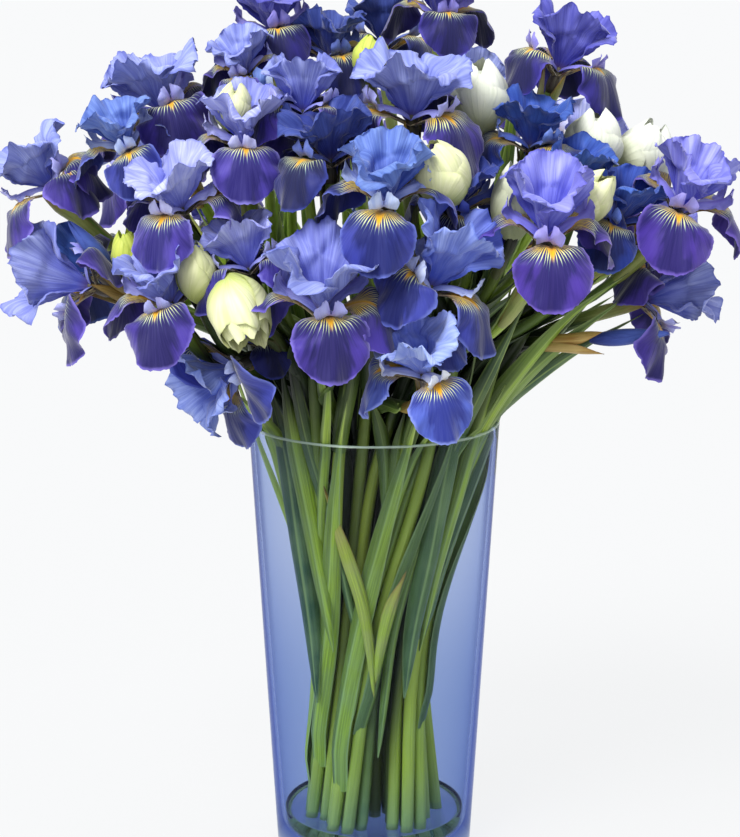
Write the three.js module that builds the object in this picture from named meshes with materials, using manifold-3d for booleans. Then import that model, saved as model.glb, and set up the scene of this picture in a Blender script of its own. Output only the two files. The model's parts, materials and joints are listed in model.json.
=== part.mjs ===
// Irises in a tapered blue glass vase, with pale buds between the blooms and sword leaves on the stems.
// Millimetres, +Z up. The origin is the centre of the vase's foot, and the side it is seen from is -Y.

import * as THREE from 'three';
import { mergeVertices } from 'three/addons/utils/BufferGeometryUtils.js';
import Module from 'manifold-3d';

const wasm = await Module();
wasm.setup();
const { Manifold, Mesh } = wasm;

// Vase and water
const vaseHeight = 300;
const rimRadius = 84;
const footRadius = 66.8;
const rimWall = 3;
const footWall = 6;
const floorThickness = 14;
const edgeRound = 1.5;
const footEdge = 2;
const floorCorner = 5;
const vaseSides = 32;
const waterLevel = 26;
const waterSideGap = 1;

// Clearance kept between two pieces that touch
const gap = 0.3;
const edgeGrowth = 3;

// Stems: they stand on the vase's floor, are narrowest at the waist and fan out at the rim
const stemSides = 5;
const stemRadii = { inVase: [4.2, 4.3, 3.8], above: [3.6, 3.3], sheath: 5, end: 3.6 };
const middleStem = { sides: 6, inVase: [5.2, 5.6, 4.2] };
const sheathLength = 46;
const waistHeight = 146;
const stemSpacing = 8.8;
const clusterSpacing = 27.5;
const pairShift = 6.1;
const stemsPerCluster = 7;
const spread = { foot: 1.3, waist: 1, rim: 1.95 };
const twist = { foot: -60, waist: -35, rim: 0 };
const vaseStations = [floorThickness + gap, waistHeight, vaseHeight];
const bendStations = [0.34, 0.7, 1];
const stemClearance = 9.4;
const heartClearance = 12;
const leafForm = { rows: 4, thick: 1.8, fold: 0.28, offStem: 6.2, rooted: 0.12, followsAbove: 40 };

// Iris blooms, at size 1: lengths along the petal and widths across it
const petals = {
  fall: { length: 66, width: 50, haft: 0.2, haftEnd: 0.2, full: 0.6, round: 0.6, thick: 1.7 },
  standard: { length: 52, width: 44, haft: 0.2, haftEnd: 0.12, full: 0.72, round: 0.62, thick: 1.7 },
  style: { length: 30, width: 15, haft: 0.5, haftEnd: 0.1, full: 0.6, round: 0.7, thick: 2.2 },
};
// Shares of a petal's length where its outline has points: most on the blooms in front, fewest behind.
const petalStations = {
  front: { fall: [0.32, 0.6, 0.88], standard: [0.36, 0.84], style: [0.62] },
  middle: { fall: [0.42, 0.82], standard: [0.44, 0.84] },
  rear: { fall: [0.46, 0.82], standard: [0.44, 0.84] },
};
const frontBlooms = 12;
const rearBlooms = 11;
const fallLaunch = 56;
const styleLaunch = 44;
const petalWave = 2.2;
const bloomsWithStyles = 6;
const leastPetalLeft = 0.75;
const leastOverlap = 0.004;
const bloomTolerance = 0.1;
const tolerance = 0.03;
const heart = { radius: 7, below: 12, base: 5, above: 8 };

// Buds: the height and fullness of each ring, and where the top closes
const budForms = {
  plump: { heights: [0, 0.2, 0.6, 1], fullness: [0.35, 0.86, 1, 0.64], top: 0.86 },
  rolled: { heights: [0, 0.3, 0.7], fullness: [0.45, 1, 0.8], top: 1.1 },
};
const budSides = 6;
const budWrap = 0.12;
const budLip = 0.07;

const degrees = Math.PI / 180;
const up = new THREE.Vector3(0, 0, 1);
const towardViewer = new THREE.Vector3(0, -1, 0);

// Each bloom: its heart, the way its axis leans, the turn of its first fall from the viewer's side
// towards the right, its size, its colour, and how far its standards flare from the axis.
const blooms = [
  { name: 'iris_centre_front', at: [-31, -135, 392], lean: [0, -0.35, 0.93],
    turn: 8, size: 1.08, flare: 38 },
  { name: 'iris_right_front', at: [103, -115, 433], lean: [0.05, -0.35, 0.93],
    turn: 0, size: 1.05, flare: 28 },
  { name: 'iris_upper_centre', at: [23, -70, 502], lean: [0.03, -0.3, 0.95],
    turn: 48, size: 1.1, flare: 42 },
  { name: 'iris_blue_centre', at: [7, -125, 456], lean: [0, -0.4, 0.9],
    turn: -5, size: 1, flare: 34, blue: 1 },
  { name: 'iris_low_pale', at: [30, -130, 354], lean: [-0.2, -0.5, 0.8],
    turn: 25, size: 0.92, flare: 30, blue: 1 },
  { name: 'iris_side_centre', at: [32, -120, 405], lean: [0.45, -0.25, 0.85],
    turn: 80, size: 1, flare: 25, blue: 1 },
  { name: 'iris_left_front', at: [-124, -105, 392], lean: [-0.25, -0.35, 0.9],
    turn: -10, size: 1, flare: 34 },
  { name: 'iris_far_right', at: [190, -60, 445], lean: [0.35, -0.3, 0.88],
    turn: -5, size: 1.05, flare: 32 },
  { name: 'iris_left_round', at: [-78, -75, 484], lean: [-0.05, -0.3, 0.95],
    turn: 0, size: 0.98, flare: 36 },
  { name: 'iris_upper_left', at: [-133, -20, 502], lean: [-0.3, -0.2, 0.93],
    turn: 25, size: 1.05, flare: 40 },
  { name: 'iris_far_left', at: [-205, -30, 456], lean: [-0.55, -0.25, 0.8],
    turn: 45, size: 0.95, flare: 40 },
  { name: 'iris_left_middle', at: [-117, -95, 449], lean: [-0.2, -0.35, 0.9],
    turn: -25, size: 0.92, flare: 40 },
  { name: 'iris_left_small', at: [-152, -60, 483], lean: [-0.35, -0.35, 0.87],
    turn: 10, size: 0.82, flare: 36 },
  { name: 'iris_top_left', at: [-64, 0, 551], lean: [-0.1, -0.15, 1], turn: 10, size: 0.9, flare: 40 },
  { name: 'iris_top_small', at: [-81, -35, 529], lean: [-0.2, -0.4, 0.9],
    turn: -10, size: 0.68, flare: 38 },
  { name: 'iris_back_view', at: [-44, -70, 506], lean: [0, -0.1, 1], turn: 60, size: 0.82, flare: 30 },
  { name: 'iris_top_centre', at: [42, 0, 561], lean: [0.05, -0.2, 0.95],
    turn: 10, size: 0.86, flare: 42 },
  { name: 'iris_top_right', at: [117, -10, 528], lean: [0.3, -0.1, 0.95],
    turn: 60, size: 1, flare: 32 },
  { name: 'iris_blue_left', at: [-27, -95, 478], lean: [-0.05, -0.2, 0.97],
    turn: -40, size: 0.92, flare: 36, blue: 1 },
  { name: 'iris_round_left', at: [-76, -100, 413], lean: [-0.25, -0.1, 0.95],
    turn: 180, size: 0.82, flare: 30 },
  { name: 'iris_blue_high', at: [98, -50, 483], lean: [0.05, -0.2, 0.97],
    turn: 30, size: 0.86, flare: 34, blue: 1 },
  { name: 'iris_blue_inner', at: [122, -66, 458], lean: [0.2, -0.3, 0.93],
    turn: -30, size: 0.8, flare: 34, blue: 1 },
  { name: 'iris_blue_right', at: [151, -60, 437], lean: [0.3, -0.3, 0.9],
    turn: -20, size: 0.85, flare: 34, blue: 1 },
  { name: 'iris_right_side', at: [172, -30, 384], lean: [0.93, -0.15, 0.3],
    turn: 45, size: 0.92, flare: 24 },
  { name: 'iris_left_side', at: [-178, -50, 396], lean: [-0.93, -0.15, 0.3],
    turn: -42, size: 0.95, flare: 26 },
  { name: 'iris_low_left', at: [-84, -85, 352], lean: [-0.75, -0.45, -0.35],
    turn: 4, size: 0.9, flare: 36, blue: 1 },
  { name: 'iris_blue_deep', at: [50, -86, 447], lean: [0.1, -0.3, 0.95],
    turn: 0, size: 0.86, flare: 34, blue: 1 },
  { name: 'iris_blue_low', at: [-71, -64, 362], lean: [-0.3, -0.3, 0.9],
    turn: 20, size: 0.66, flare: 34, blue: 1, branch: 'iris_low_left' },
  { name: 'iris_blue_top', at: [-28, -10, 537], lean: [0, -0.2, 1],
    turn: 20, size: 0.78, flare: 34, blue: 1 },
  { name: 'iris_rear_left', at: [-150, 80, 452], lean: [-0.5, 0.35, 0.8],
    turn: 190, size: 1, flare: 36 },
  { name: 'iris_rear_upper_left', at: [-82, 96, 492], lean: [-0.25, 0.4, 0.88],
    turn: 175, size: 1, flare: 34, blue: 1 },
  { name: 'iris_rear_centre', at: [-14, 116, 468], lean: [-0.1, 0.4, 0.9],
    turn: 230, size: 1, flare: 32 },
  { name: 'iris_rear_upper_right', at: [64, 104, 494], lean: [0.2, 0.4, 0.9],
    turn: 170, size: 1, flare: 36 },
  { name: 'iris_rear_right', at: [138, 84, 462], lean: [0.45, 0.35, 0.85],
    turn: 180, size: 1, flare: 34 },
  { name: 'iris_rear_low_left', at: [-96, 128, 404], lean: [-0.35, 0.6, 0.7],
    turn: 185, size: 0.95, flare: 32 },
  { name: 'iris_rear_low', at: [4, 140, 388], lean: [0, 0.65, 0.75],
    turn: 175, size: 0.95, flare: 32, blue: 1 },
  { name: 'iris_rear_low_right', at: [98, 124, 398], lean: [0.35, 0.6, 0.7],
    turn: 190, size: 0.95, flare: 32 },
  { name: 'iris_outer_left', at: [-186, 36, 392], lean: [-0.8, 0.2, 0.5],
    turn: 200, size: 0.92, flare: 30, blue: 1 },
  { name: 'iris_outer_right', at: [180, 44, 410], lean: [0.75, 0.25, 0.6],
    turn: 160, size: 0.95, flare: 32 },
  { name: 'iris_crown', at: [8, 62, 540], lean: [0, 0.15, 1],
    turn: 180, size: 0.9, flare: 34, blue: 1 },
];

// Closed buds: centre of the foot, lean, height and width; branch names the bloom whose stem carries it.
const buds = [
  { name: 'bud_upper_left', at: [-88, -64, 496], lean: [0.1, -0.1, 1], height: 28, width: 24 },
  { name: 'bud_top_green', at: [-3, -36, 526], lean: [0.1, -0.1, 1], height: 26, width: 24, green: 1 },
  { name: 'bud_cream_centre', at: [47, -106, 456], lean: [-0.35, -0.35, 0.9], height: 40, width: 34 },
  { name: 'bud_white_upper', at: [66, -34, 492], lean: [0, -0.1, 1],
    height: 44, width: 38, branch: 'iris_upper_centre' },
  { name: 'bud_white_middle', at: [84, -90, 432], lean: [0.05, -0.1, 1], height: 44, width: 28 },
  { name: 'bud_cream_right', at: [121, -82, 443], lean: [0.6, -0.35, 0.8], height: 36, width: 28 },
  { name: 'bud_white_right', at: [138, -34, 468], lean: [0.05, -0.1, 1], height: 38, width: 36 },
  { name: 'bud_white_far_right', at: [166, -14, 456], lean: [0.35, -0.1, 1], height: 42, width: 38 },
  { name: 'bud_cream_left', at: [-106, -106, 396], lean: [-0.1, -0.3, 1], height: 36, width: 24 },
  { name: 'bud_cream_low', at: [-72, -118, 384], lean: [-0.2, -0.75, 0.1], height: 42, width: 36 },
  { name: 'bud_small_left', at: [-58, -92, 402], lean: [0.1, -0.2, 1],
    height: 22, width: 15, branch: 'iris_round_left' },
  { name: 'bud_green_left', at: [-150, -64, 404], lean: [-0.2, -0.2, 1],
    height: 30, width: 22, green: 1, branch: 'iris_left_small' },
  { name: 'bud_blue_left', at: [-160, -52, 400], lean: [-0.6, -0.15, 0.75],
    height: 44, width: 16, blue: 1, branch: 'iris_left_side' },
  { name: 'bud_blue_right', at: [128, -52, 362], lean: [1, -0.1, 0.1],
    height: 52, width: 14, blue: 1, branch: 'iris_right_side' },
];

// Sword leaves: the cluster and stem that carry each, the heights it starts and ends at, its width, how
// far its foot swings round the stem in degrees, and how far its tip leans away from the stem.
const leaves = [
  { cluster: 1, stem: 6, from: 150, to: 372, width: 13, swing: 0, lean: 24 },
  { cluster: 1, stem: 1, from: 90, to: 352, width: 14, swing: 10, lean: 20 },
  { cluster: 2, stem: 1, from: 60, to: 318, width: 13, swing: 0, lean: 10 },
  { cluster: 2, stem: 2, from: 100, to: 366, width: 14, swing: 0, lean: 20 },
  { cluster: 3, stem: 2, from: 80, to: 340, width: 13, swing: -10, lean: 16 },
  { cluster: 3, stem: 3, from: 130, to: 372, width: 12, swing: 10, lean: 22 },
  { cluster: 4, stem: 3, from: 70, to: 322, width: 14, swing: 0, lean: 10 },
  { cluster: 4, stem: 4, from: 110, to: 376, width: 13, swing: 0, lean: 20 },
  { cluster: 5, stem: 4, from: 40, to: 262, width: 15, swing: -10, lean: 4 },
  { cluster: 5, stem: 5, from: 60, to: 330, width: 16, swing: 0, lean: 6 },
  { cluster: 6, stem: 5, from: 50, to: 345, width: 17, swing: 0, lean: 8 },
  { cluster: 6, stem: 6, from: 90, to: 388, width: 13, swing: 20, lean: 18 },
  { cluster: 5, stem: 3, from: 150, to: 352, width: 12, swing: 0, lean: 20 },
  { cluster: 6, stem: 1, from: 140, to: 398, width: 13, swing: 0, lean: 26 },
  { cluster: 0, stem: 5, from: 60, to: 236, width: 13, swing: 0, lean: 3 },
  { cluster: 0, stem: 4, from: 150, to: 330, width: 12, swing: 0, lean: 8 },
];

// A number from 0 to 1 that is always the same for the same two seeds.
function chance(seed, draw) {
  const value = Math.sin(seed * 12.9898 + draw * 78.233) * 43758.5453;
  return value - Math.floor(value);
}

function smooth(from, to, value) {
  const share = Math.min(1, Math.max(0, (value - from) / (to - from)));
  return share * share * (3 - 2 * share);
}

// The direction at an angle in degrees from one way towards another that is square to it.
function between(first, second, angle) {
  const way = first.clone().multiplyScalar(Math.cos(angle * degrees));
  return way.addScaledVector(second, Math.sin(angle * degrees));
}

// Solid helpers

function solidOf(points, faces) {
  let volume = 0;
  for (const [a, b, c] of faces) {
    volume += points[a].dot(new THREE.Vector3().crossVectors(points[b], points[c]));
  }
  const outward = volume < 0 ? faces.map(([a, b, c]) => [a, c, b]) : faces;
  return new Manifold(new Mesh({
    numProp: 3,
    vertProperties: Float32Array.from(points.flatMap((p) => [p.x, p.y, p.z])),
    triVerts: Uint32Array.from(outward.flat()),
  }));
}

// Joins rings of points by quads. The ends close on a point, or on the flat ring itself.
function loft(rings, start, end) {
  const count = rings[0].length;
  const points = rings.flat();
  const faces = [];
  for (let row = 0; row + 1 < rings.length; row++) {
    for (let side = 0; side < count; side++) {
      const a = row * count + side;
      const b = row * count + ((side + 1) % count);
      faces.push([a, b, b + count], [a, b + count, a + count]);
    }
  }
  const closeOn = (first, point, flip) => {
    const centre = point ? points.push(point) - 1 : first;
    for (let side = 0; side < count; side++) {
      const a = first + side;
      const b = first + ((side + 1) % count);
      if (a !== centre && b !== centre) faces.push(flip ? [centre, b, a] : [centre, a, b]);
    }
  };
  closeOn(0, start, true);
  closeOn((rings.length - 1) * count, end, false);
  return solidOf(points, faces);
}

function turned(profile, sides) {
  const lathe = new THREE.LatheGeometry(profile.map(([r, z]) => new THREE.Vector2(r, z)), sides);
  lathe.rotateX(Math.PI / 2);
  lathe.deleteAttribute('normal');
  lathe.deleteAttribute('uv');
  const merged = mergeVertices(lathe, 1e-4);
  const place = merged.getAttribute('position');
  const points = [];
  for (let i = 0; i < place.count; i++) points.push(new THREE.Vector3().fromBufferAttribute(place, i));
  const faces = [];
  for (let i = 0; i < merged.index.count; i += 3) {
    const face = [merged.index.getX(i), merged.index.getX(i + 1), merged.index.getX(i + 2)];
    if (new Set(face).size === 3) faces.push(face);
  }
  return solidOf(points, faces);
}

function boxesMeet(a, b) {
  const first = a.boundingBox();
  const second = b.boundingBox();
  return [0, 1, 2].every((i) => first.min[i] < second.max[i] && second.min[i] < first.max[i]);
}

function cutBy(solid, cutters) {
  return cutters.reduce((left, cutter) => (boxesMeet(left, cutter) ? left.subtract(cutter) : left), solid);
}

// The main body of a solid: loose scraps are dropped and sealed hollows filled.
function mainBody(solid, within = tolerance) {
  const bodies = solid.simplify(within).decompose();
  return bodies.reduce((best, body) => (body.volume() > best.volume() ? body : best));
}

// Vase and water

function outerRadius(z) {
  return THREE.MathUtils.lerp(footRadius, rimRadius, z / vaseHeight);
}

function innerRadius(z) {
  return outerRadius(z) - THREE.MathUtils.lerp(footWall, rimWall, z / vaseHeight);
}

function vaseProfile(grow) {
  const shoulder = vaseHeight - edgeRound;
  const floorTop = floorThickness + grow;
  const wallFoot = floorThickness + floorCorner;
  return [
    [0, -grow],
    [footRadius - footEdge + grow, -grow],
    [outerRadius(footEdge) + grow, footEdge],
    [outerRadius(shoulder) + grow, shoulder],
    [rimRadius - rimWall / 2, vaseHeight + grow],
    [innerRadius(shoulder) - grow, shoulder],
    [innerRadius(wallFoot) - grow, wallFoot],
    [innerRadius(floorThickness) - floorCorner, floorTop],
    [0, floorTop],
  ];
}

// Stems: a cluster of seven stands round each of seven points. Every height scales and turns the same
// plan of the stems, so that no two of them cross inside the vase.

function clusterCentre(cluster) {
  if (cluster === 0) return [0, 0];
  // Clusters stand in pairs, drawn together until their nearest stems join at the waist.
  const towardPartner = cluster % 2 === 1 ? pairShift : -pairShift;
  const angle = ((cluster - 1) * 60 + towardPartner) * degrees;
  return [clusterSpacing * Math.cos(angle), clusterSpacing * Math.sin(angle)];
}

function planPoint(cluster, stem) {
  const [x, y] = clusterCentre(cluster);
  if (stem === 0) return [x, y];
  const angle = ((stem - 1) * 60 + 30) * degrees;
  return [x + stemSpacing * Math.cos(angle), y + stemSpacing * Math.sin(angle)];
}

function inVase([x, y], z) {
  const above = z > waistHeight;
  const share = above ? (z - waistHeight) / (vaseHeight - waistHeight) : (waistHeight - z) / waistHeight;
  const outer = above ? 'rim' : 'foot';
  const scale = spread.waist + (spread[outer] - spread.waist) * share ** 1.5;
  const angle = (twist.waist + (twist[outer] - twist.waist) * share) * degrees;
  const turnedX = x * Math.cos(angle) - y * Math.sin(angle);
  const turnedY = x * Math.sin(angle) + y * Math.cos(angle);
  return new THREE.Vector3(turnedX * scale, turnedY * scale, z);
}

function headAxis(head) {
  return new THREE.Vector3(...head.lean).normalize();
}

function headFoot(head) {
  const drop = head.size ? heart.below * head.size + gap : gap;
  return new THREE.Vector3(...head.at).addScaledVector(headAxis(head), -drop);
}

// Where a head's stem should leave the rim, as a point on the plan.
function wantedPlan(head) {
  const [x, y, z] = head.at;
  const reach = Math.hypot(x, y);
  const steepness = Math.atan2(reach, z - vaseHeight * 0.8) / (75 * degrees);
  const radius = (clusterSpacing + stemSpacing) * Math.min(1, steepness);
  const angle = Math.atan2(y, x) - 20 * degrees;
  return [radius * Math.cos(angle), radius * Math.sin(angle)];
}

function closeness([x, y], [u, v]) {
  return Math.hypot(x - u, y - v);
}

function makeStems(heads) {
  const free = [];
  for (let cluster = 0; cluster < 7; cluster++) {
    for (let stem = 0; stem < stemsPerCluster; stem++) {
      free.push({ cluster, stem, plan: planPoint(cluster, stem) });
    }
  }
  const outermostFirst = heads.filter((head) => !head.branch)
    .sort((a, b) => Math.hypot(...wantedPlan(b)) - Math.hypot(...wantedPlan(a)));
  const stems = outermostFirst.map((head) => {
    const wanted = wantedPlan(head);
    free.sort((a, b) => closeness(a.plan, wanted) - closeness(b.plan, wanted));
    return { head, ...free.shift() };
  });
  for (const stem of stems) {
    const points = vaseStations.map((z) => inVase(stem.plan, z));
    stem.fixed = points.length;
    stem.points = points.concat(bend(points.at(-1), points.at(-2), stem.head));
  }
  clearStems(stems, heads);
  for (const head of heads.filter((one) => one.branch)) {
    const host = stems.find((stem) => stem.head.name === head.branch);
    const start = host.points[host.fixed];
    const before = host.points[host.fixed - 1];
    stems.push({ head, cluster: host.cluster, points: [start, ...bend(start, before, head)], fixed: 1 });
  }
  return stems;
}

// The free part of a stem: from the rim, in the way it already runs, round to its head's axis.
function bend(start, before, head) {
  const foot = headFoot(head);
  const reach = start.distanceTo(foot) * 0.36;
  const along = start.clone().sub(before).normalize();
  const curve = new THREE.CubicBezierCurve3(
    start,
    start.clone().addScaledVector(along, reach),
    foot.clone().addScaledVector(headAxis(head), -reach),
    foot,
  );
  return bendStations.map((share) => curve.getPoint(share));
}

// Pushes the free parts of the stems apart, and off the hearts of other blooms.
function clearStems(stems, heads) {
  const shove = (points, fixed, index, way) => {
    for (const end of [index, index + 1]) {
      if (end >= fixed && end < points.length - 1) points[end].add(way);
    }
  };
  for (let round = 0; round < 80; round++) {
    for (let i = 0; i < stems.length; i++) {
      for (let j = 0; j < i; j++) {
        separate(stems[i], stems[j], shove);
      }
      for (const head of heads) {
        if (head === stems[i].head || !head.size) continue;
        keepOff(stems[i], new THREE.Vector3(...head.at), shove);
      }
    }
  }
}

function separate(first, second, shove) {
  const a = new THREE.Vector3();
  const b = new THREE.Vector3();
  for (let i = first.fixed - 1; i + 1 < first.points.length; i++) {
    for (let j = second.fixed - 1; j + 1 < second.points.length; j++) {
      const apart = nearest(first.points.slice(i, i + 2), second.points.slice(j, j + 2), a, b);
      if (apart >= stemClearance || apart < 1e-6) continue;
      const way = a.clone().sub(b).multiplyScalar((stemClearance - apart) / apart / 4);
      shove(first.points, first.fixed, i, way);
      shove(second.points, second.fixed, j, way.negate());
    }
  }
}

function keepOff(stem, centre, shove) {
  const line = new THREE.Line3();
  const near = new THREE.Vector3();
  for (let i = stem.fixed - 1; i + 1 < stem.points.length; i++) {
    line.set(stem.points[i], stem.points[i + 1]).closestPointToPoint(centre, true, near);
    const apart = near.distanceTo(centre);
    if (apart >= heartClearance || apart < 1e-6) continue;
    const way = near.clone().sub(centre).multiplyScalar((heartClearance - apart) / apart / 2);
    shove(stem.points, stem.fixed, i, way);
  }
}

// The shortest distance between two segments, with its ends in a and b.
function nearest([p, q], [r, s], a, b) {
  const first = q.clone().sub(p);
  const second = s.clone().sub(r);
  const between = p.clone().sub(r);
  const ff = first.dot(first);
  const ss = second.dot(second);
  const fs = first.dot(second);
  const fb = first.dot(between);
  const sb = second.dot(between);
  const spare = ff * ss - fs * fs;
  let onFirst = spare > 1e-9 ? THREE.MathUtils.clamp((fs * sb - fb * ss) / spare, 0, 1) : 0.5;
  const onSecond = THREE.MathUtils.clamp((fs * onFirst + sb) / ss, 0, 1);
  onFirst = THREE.MathUtils.clamp((fs * onSecond - fb) / ff, 0, 1);
  a.copy(p).addScaledVector(first, onFirst);
  b.copy(r).addScaledVector(second, onSecond);
  return a.distanceTo(b);
}

function bundleOf(cluster) {
  return Math.ceil(cluster / 2);
}

function ring(centre, along, across, radius, sides) {
  const side = across.clone().addScaledVector(along, -across.dot(along)).normalize();
  const other = new THREE.Vector3().crossVectors(along, side);
  const pointAt = (i) => centre.clone().addScaledVector(between(side, other, (i / sides) * 360), radius);
  return Array.from({ length: sides }, (_, i) => pointAt(i));
}

function tangentAt(points, i) {
  const before = points[Math.max(0, i - 1)];
  const after = points[Math.min(points.length - 1, i + 1)];
  return after.clone().sub(before).normalize();
}

// A stem's tube: it thins towards its head and swells where its green sheath wraps it. Inside the vase
// the stems of a cluster meet its middle stem edge to edge, which joins them at the waist.
function stemTube(stem, grow) {
  const { points, head } = stem;
  const last = points.length - 1;
  const axis = headAxis(head);
  const isMiddle = stem.stem === 0;
  const sides = isMiddle ? middleStem.sides : stemSides;
  const below = stem.fixed > 1 ? (isMiddle ? middleStem : stemRadii).inVase : [stemRadii.above[0]];
  const radii = [...below, ...stemRadii.above];
  let across = towardViewer;
  const rings = [];
  for (let i = 0; i < last; i++) {
    if (i < stem.fixed && stem.fixed > 1) {
      const partner = isMiddle ? planPoint(stem.cluster, 1) : clusterCentre(stem.cluster);
      across = inVase(partner, points[i].z).sub(points[i]);
    }
    const along = i === 0 && stem.fixed > 1 ? up : tangentAt(points, i);
    const centre = points[i].clone().addScaledVector(along, i === 0 ? -grow : 0);
    rings.push(ring(centre, along, across, radii[i] + grow, sides));
  }
  const scale = head.size ? head.size : 0.8;
  const swell = points[last].clone().addScaledVector(axis, -sheathLength * 0.42 * scale);
  rings.push(ring(swell, axis, across, stemRadii.sheath * scale + grow, sides));
  const tip = points[last].clone().addScaledVector(axis, grow * 0.9);
  rings.push(ring(tip, axis, across, stemRadii.end * scale + grow, sides));
  return loft(rings);
}

// A thin blade along a line of stations, each with its centre, half width, side and face directions.
// Its two edges may bend by their own amounts out of the blade's face. A grown blade is the space round
// it, drawn out further at its edges and tips, where it is thin.
function blade(stations, start, end, grow) {
  const drawnOut = (point, from) => {
    const way = point.clone().sub(from).normalize();
    return point.clone().addScaledVector(way, edgeGrowth * grow);
  };
  const rings = stations.map(({ centre, side, face, half, thick, bendLeft, bendRight }) => [
    drawnOut(centre.clone().addScaledVector(side, -half).addScaledVector(face, bendLeft), centre),
    centre.clone().addScaledVector(face, thick / 2 + grow),
    drawnOut(centre.clone().addScaledVector(side, half).addScaledVector(face, bendRight), centre),
    centre.clone().addScaledVector(face, -thick / 2 - grow),
  ]);
  return loft(rings, drawnOut(start, stations[0].centre), drawnOut(end, stations.at(-1).centre));
}

function pointAtHeight(points, z) {
  for (let i = 0; i + 1 < points.length; i++) {
    if (points[i + 1].z >= z) {
      return points[i].clone().lerp(points[i + 1], (z - points[i].z) / (points[i + 1].z - points[i].z));
    }
  }
  return points.at(-1).clone();
}

// A sword leaf starts inside its stem, comes out on the side away from the cluster's middle and runs
// beside the stem, then leaves it towards its tip.
function leafBlade(leaf, stem, grow) {
  const [x, y] = clusterCentre(leaf.cluster);
  const outward = Math.atan2(stem.plan[1] - y, stem.plan[0] - x) + leaf.swing * degrees;
  const plan = [Math.cos(outward), Math.sin(outward)];
  const awayAt = (z) => inVase(plan, Math.min(z, vaseHeight)).setZ(0).normalize();
  const pathAt = (share) => {
    const z = THREE.MathUtils.lerp(leaf.from, leaf.to, share);
    const off = 1 + leafForm.offStem * smooth(0, leafForm.rooted, share) + leaf.lean * share ** 3;
    const beside = pointAtHeight(stem.points, Math.min(z, vaseHeight + leafForm.followsAbove)).setZ(z);
    return beside.addScaledVector(awayAt(z), off);
  };
  const stations = [];
  for (let row = 0; row < leafForm.rows; row++) {
    const share = 0.14 + (row / leafForm.rows) * 0.9;
    const along = pathAt(share + 0.05).sub(pathAt(share - 0.05)).normalize();
    const side = new THREE.Vector3().crossVectors(awayAt(pathAt(share).z), along).normalize();
    const face = new THREE.Vector3().crossVectors(along, side);
    const half = (leaf.width / 2) * Math.min(1, 1.75 - 1.3 * share);
    const fold = -half * leafForm.fold;
    const thick = leafForm.thick;
    stations.push({ centre: pathAt(share), side, face, half, thick, bendLeft: fold, bendRight: fold });
  }
  return blade(stations, pathAt(0), pathAt(1), grow);
}

// Iris blooms

// The directions of a head at an angle round its axis, measured from the viewer's side to the right.
function bloomFrame(head) {
  const axis = headAxis(head);
  const front = towardViewer.clone().addScaledVector(axis, -towardViewer.dot(axis)).normalize();
  const right = new THREE.Vector3().crossVectors(axis, front);
  const outAt = (turn) => between(front, right, turn);
  return { axis, outAt };
}

function petalHalfWidth(kind, share) {
  const rise = kind.haft + (1 - kind.haft) * smooth(kind.haftEnd, kind.full, share);
  const past = Math.max(0, (share - kind.round) / (1 - kind.round));
  return (kind.width / 2) * rise * Math.sqrt(Math.max(0, 1 - past ** 2.3));
}

// How a petal runs at a share of its length: falls arch out and hang, standards rise and flare.
function petalWay(name, axis, out, share, flare) {
  const mix = (angle) => between(axis, out, angle);
  if (name === 'fall') {
    const hang = out.clone().sub(axis).multiplyScalar(0.3).addScaledVector(up, -0.75).normalize();
    return mix(fallLaunch).lerp(hang, smooth(0.14, 0.78, share)).normalize();
  }
  if (name === 'standard') return mix(THREE.MathUtils.lerp(flare * 0.35, flare * 1.15, share));
  return mix(THREE.MathUtils.lerp(styleLaunch + 12, styleLaunch - 20, share));
}

function petalBlade(name, head, turn, seed, detail, grow) {
  const kind = petals[name];
  const { axis, outAt } = bloomFrame(head);
  const out = outAt(turn);
  const sideways = new THREE.Vector3().crossVectors(axis, out);
  const rise = { fall: -1.5, standard: 1.5, style: 2.5 }[name] * head.size;
  const walk = new THREE.Vector3(...head.at).addScaledVector(out, 1.5).addScaledVector(axis, rise);
  const start = walk.clone();
  const steps = 50;
  const wanted = petalStations[detail][name];
  const stations = [];
  for (let step = 1; step <= steps; step++) {
    const share = step / steps;
    const along = petalWay(name, axis, out, share - 0.5 / steps, head.flare);
    walk.addScaledVector(along, (kind.length * head.size) / steps);
    if (!wanted.some((at) => Math.round(at * steps) === step)) continue;
    const side = sideways.clone().addScaledVector(along, -sideways.dot(along)).normalize();
    const face = new THREE.Vector3().crossVectors(along, side).negate();
    const half = petalHalfWidth(kind, share) * head.size;
    const cup = name === 'fall' ? -0.16 * half : 0.12 * half;
    const wave = name === 'style' ? 0 : petalWave * smooth(0.4, 0.7, share);
    const bendLeft = cup + wave * (chance(seed, step) - 0.5) * 2;
    const bendRight = cup + wave * (chance(seed, step + 7) - 0.5) * 2;
    stations.push({ centre: walk.clone(), side, face, half, thick: kind.thick, bendLeft, bendRight });
  }
  return blade(stations, start, walk, grow);
}

function heartSolid(head, grow) {
  const { axis } = bloomFrame(head);
  const centre = new THREE.Vector3(...head.at);
  const at = (height) => centre.clone().addScaledVector(axis, height * head.size);
  const facing = bloomFrame(head).outAt(head.turn + 60);
  return loft([
    ring(at(-heart.below), axis, facing, heart.base * head.size + grow, 3),
    ring(at(0), axis, facing, heart.radius * head.size + grow, 3),
  ], undefined, at(heart.above));
}

function detailOf(index) {
  if (index < frontBlooms) return 'front';
  return index < blooms.length - rearBlooms ? 'middle' : 'rear';
}

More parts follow.
